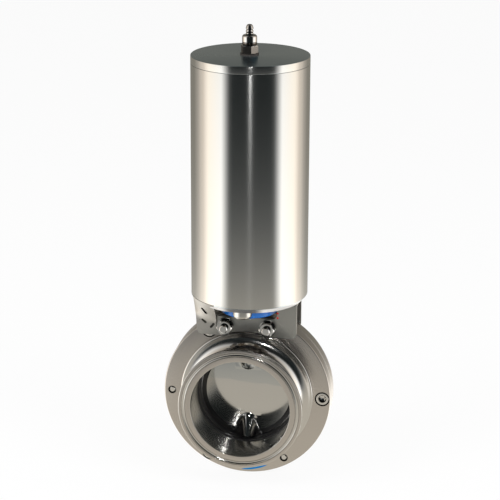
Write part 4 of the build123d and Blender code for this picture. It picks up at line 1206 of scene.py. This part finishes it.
# The room as metal sees it. WALLS and FLOOR_BEHIND go by the angle from straight ahead of the
# camera, 0 in front to 1 behind, the other floor shades by the distance and SKY_FAR by the height.
FRONT_TURN = math.radians(12.7)
WALLS = [
    (0.0, (0.010, 0.014, 0.015)),
    (0.20, (0.015, 0.020, 0.021)),
    (0.24, (0.065, 0.070, 0.070)),
    (0.265, (0.35, 0.35, 0.35)),
    (0.30, (0.95, 0.94, 0.92)),
    (0.33, (1.55, 1.53, 1.50)),
    (0.50, (1.60, 1.46, 1.28)),
    (0.54, (1.35, 1.20, 1.05)),
    (0.575, (1.00, 0.88, 0.76)),
    (0.63, (0.80, 0.72, 0.63)),
    (0.67, (0.55, 0.50, 0.44)),
    (0.76, (0.30, 0.28, 0.24)),
    (1.0, (0.24, 0.23, 0.20)),
]
FLOOR_NEAR = [
    (0.0, (0.60, 0.56, 0.48)),
    (0.10, (0.55, 0.51, 0.44)),
    (0.15, (0.42, 0.40, 0.36)),
    (0.20, (0.24, 0.235, 0.225)),
    (0.25, 0.13),
    (0.44, 0.034),
    (0.65, 0.006),
    (1.0, 0.0),
]
FLOOR_FAR = [(0.0, 0.0), (0.08, 0.0), (0.15, 1.0), (1.0, 1.0)]
FLOOR_BEHIND = [(0.0, 0.0), (0.38, 0.0), (0.46, 0.9), (1.0, 0.9)]
SKY_FAR = [(0.0, 1.0), (0.45, 1.0), (0.75, 0.45), (1.0, 0.16)]

# Camera: place in metres, angles in degrees
CAMERA_PLACE = (0.21632, -1.3024, 0.52057)
CAMERA_TURN = 9.419
CAMERA_DROP = 17.3449
CAMERA_ROLL = 0.2343
CAMERA_LENS = 137.346
CAMERA_SENSOR = 36.0


def ramp(tree, value, stops):
    """A colour ramp; stops are (place, grey or colour)."""
    node = tree.nodes.new("ShaderNodeValToRGB")
    node.color_ramp.interpolation = "LINEAR"
    while len(node.color_ramp.elements) < len(stops):
        node.color_ramp.elements.new(0.5)
    for element, (place, colour) in zip(node.color_ramp.elements, stops):
        element.position = place
        element.color = (*colour, 1) if isinstance(colour, tuple) else (colour, colour, colour, 1)
    tree.links.new(value, node.inputs["Fac"])
    return node.outputs["Color"]


def front_angle(tree, place):
    """Angle from straight ahead of the camera, 0 in front to 1 behind, seen from above."""
    side = maths(tree, "ARCTAN2", place["X"], maths(tree, "MULTIPLY", place["Y"], -1.0))
    away = maths(tree, "ABSOLUTE", maths(tree, "SUBTRACT", side, FRONT_TURN))
    return maths(tree, "DIVIDE", away, math.pi)


def floor_seen(tree):
    """The floor as metal sees it: lit from behind close by, dark in front and like the walls far off."""
    place = tree.nodes.new("ShaderNodeTexCoord").outputs["Object"]
    angle = front_angle(tree, taken_apart(tree, place))
    reach = maths(tree, "DIVIDE", length_of(tree, place), FLOOR_REACH)
    behind = ramp(tree, angle, FLOOR_BEHIND)
    far = mixed(tree, "MIX", ramp(tree, reach, FLOOR_FAR), behind, ramp(tree, angle, WALLS))
    return mixed(tree, "ADD", 1.0, far, ramp(tree, reach, FLOOR_NEAR))


def sky_seen(tree):
    """The room above the floor as metal sees it: bright walls to the sides under a dim ceiling."""
    place = taken_apart(tree, tree.nodes.new("ShaderNodeTexCoord").outputs["Generated"])
    rise = maths(tree, "MULTIPLY_ADD", place["Z"], 0.5, 0.5)
    walls = ramp(tree, front_angle(tree, place), WALLS)
    return mixed(tree, "MULTIPLY", 1.0, walls, ramp(tree, rise, SKY_FAR))


def coloured(tree, kind, colour):
    """A shader of the given kind with a set or linked colour."""
    node = tree.nodes.new(kind)
    feed(tree, colour, node.inputs["Color"])
    return node.outputs[0]


def either(tree, share, first, second):
    """The first shader where the share is 0 and the second where it is 1."""
    node = tree.nodes.new("ShaderNodeMixShader")
    for socket, value in zip(node.inputs, (share, first, second)):
        feed(tree, value, socket)
    return node.outputs[0]


def studio_floor():
    """Pale floor. What the metal sees of it darkens with distance in front, as in a plain studio."""
    level = -FLANGE_R * MM
    corners = [(x * FLOOR_SIZE, y * FLOOR_SIZE, level) for x, y in ((-1, -1), (1, -1), (1, 1), (-1, 1))]
    mesh = bpy.data.meshes.new("floor")
    mesh.from_pydata(corners, [], [(0, 1, 2, 3)])
    material = bpy.data.materials.new("floor")
    material.use_nodes = True
    tree = material.node_tree
    tree.nodes.clear()
    ray = tree.nodes.new("ShaderNodeLightPath").outputs
    paper = coloured(tree, "ShaderNodeBsdfDiffuse", FLOOR_PAPER)
    pale = either(tree, FLOOR_GLOW, paper, coloured(tree, "ShaderNodeEmission", WHITE))
    seen = coloured(tree, "ShaderNodeEmission", floor_seen(tree))
    plain = either(tree, ray["Is Camera Ray"], paper, pale)
    out = tree.nodes.new("ShaderNodeOutputMaterial")
    tree.links.new(either(tree, ray["Is Glossy Ray"], plain, seen), out.inputs["Surface"])
    put_in_scene("floor", mesh, material)


def studio_world():
    """White to the camera, an even grey for soft light, and the room for reflections."""
    world = bpy.data.worlds.new("studio")
    bpy.context.scene.world = world
    world.use_nodes = True
    tree = world.node_tree
    tree.nodes.clear()
    ray = tree.nodes.new("ShaderNodeLightPath").outputs
    soft = coloured(tree, "ShaderNodeBackground", SOFT_GREY)
    room = coloured(tree, "ShaderNodeBackground", sky_seen(tree))
    lit = either(tree, ray["Is Glossy Ray"], soft, room)
    white = coloured(tree, "ShaderNodeBackground", WHITE)
    out = tree.nodes.new("ShaderNodeOutputWorld")
    tree.links.new(either(tree, ray["Is Camera Ray"], lit, white), out.inputs["Surface"])


def lamp(name, place, target, size, power, glossy):
    """A square lamp that looks at a point."""
    data = bpy.data.lights.new(name, "AREA")
    data.shape = "SQUARE"
    data.size = size
    data.energy = power
    light = bpy.data.objects.new(name, data)
    light.location = place
    light.rotation_mode = "QUATERNION"
    light.rotation_quaternion = (Vector(target) - Vector(place)).to_track_quat("-Z", "Y")
    light.visible_glossy = glossy
    bpy.context.scene.collection.objects.link(light)


def place_camera():
    """Plain perspective camera, fitted to the circles of the body and the tube."""
    turn = math.radians(CAMERA_TURN)
    drop = math.radians(CAMERA_DROP)
    roll = math.radians(CAMERA_ROLL)
    ahead = Vector((-math.sin(turn) * math.cos(drop), math.cos(turn) * math.cos(drop), -math.sin(drop)))
    right = Vector((math.cos(turn), math.sin(turn), 0))
    up = right.cross(ahead)
    level = math.cos(roll) * right + math.sin(roll) * up
    upright = math.cos(roll) * up - math.sin(roll) * right
    data = bpy.data.cameras.new("camera")
    data.sensor_width = CAMERA_SENSOR
    data.lens = CAMERA_LENS
    data.clip_start = 0.05
    data.clip_end = 50.0
    camera = bpy.data.objects.new("camera", data)
    axes = Matrix((level, upright, -ahead)).transposed().to_4x4()
    camera.matrix_world = Matrix.Translation(CAMERA_PLACE) @ axes
    bpy.context.scene.collection.objects.link(camera)
    bpy.context.scene.camera = camera


place_camera()
studio_floor()
studio_world()
lamp("left soft box", (-1.0, -0.9, 0.9), (0, 0, 0.1), size=0.8, power=12, glossy=False)
lamp("right soft box", (1.2, -0.7, 0.9), (0, 0, 0.1), size=0.8, power=12, glossy=False)
lamp("flash", (0.2165, -1.30, 0.66), (0, 0, 0.08), size=0.07, power=1.6, glossy=True)
bpy.context.scene.view_settings.view_transform = "Standard"
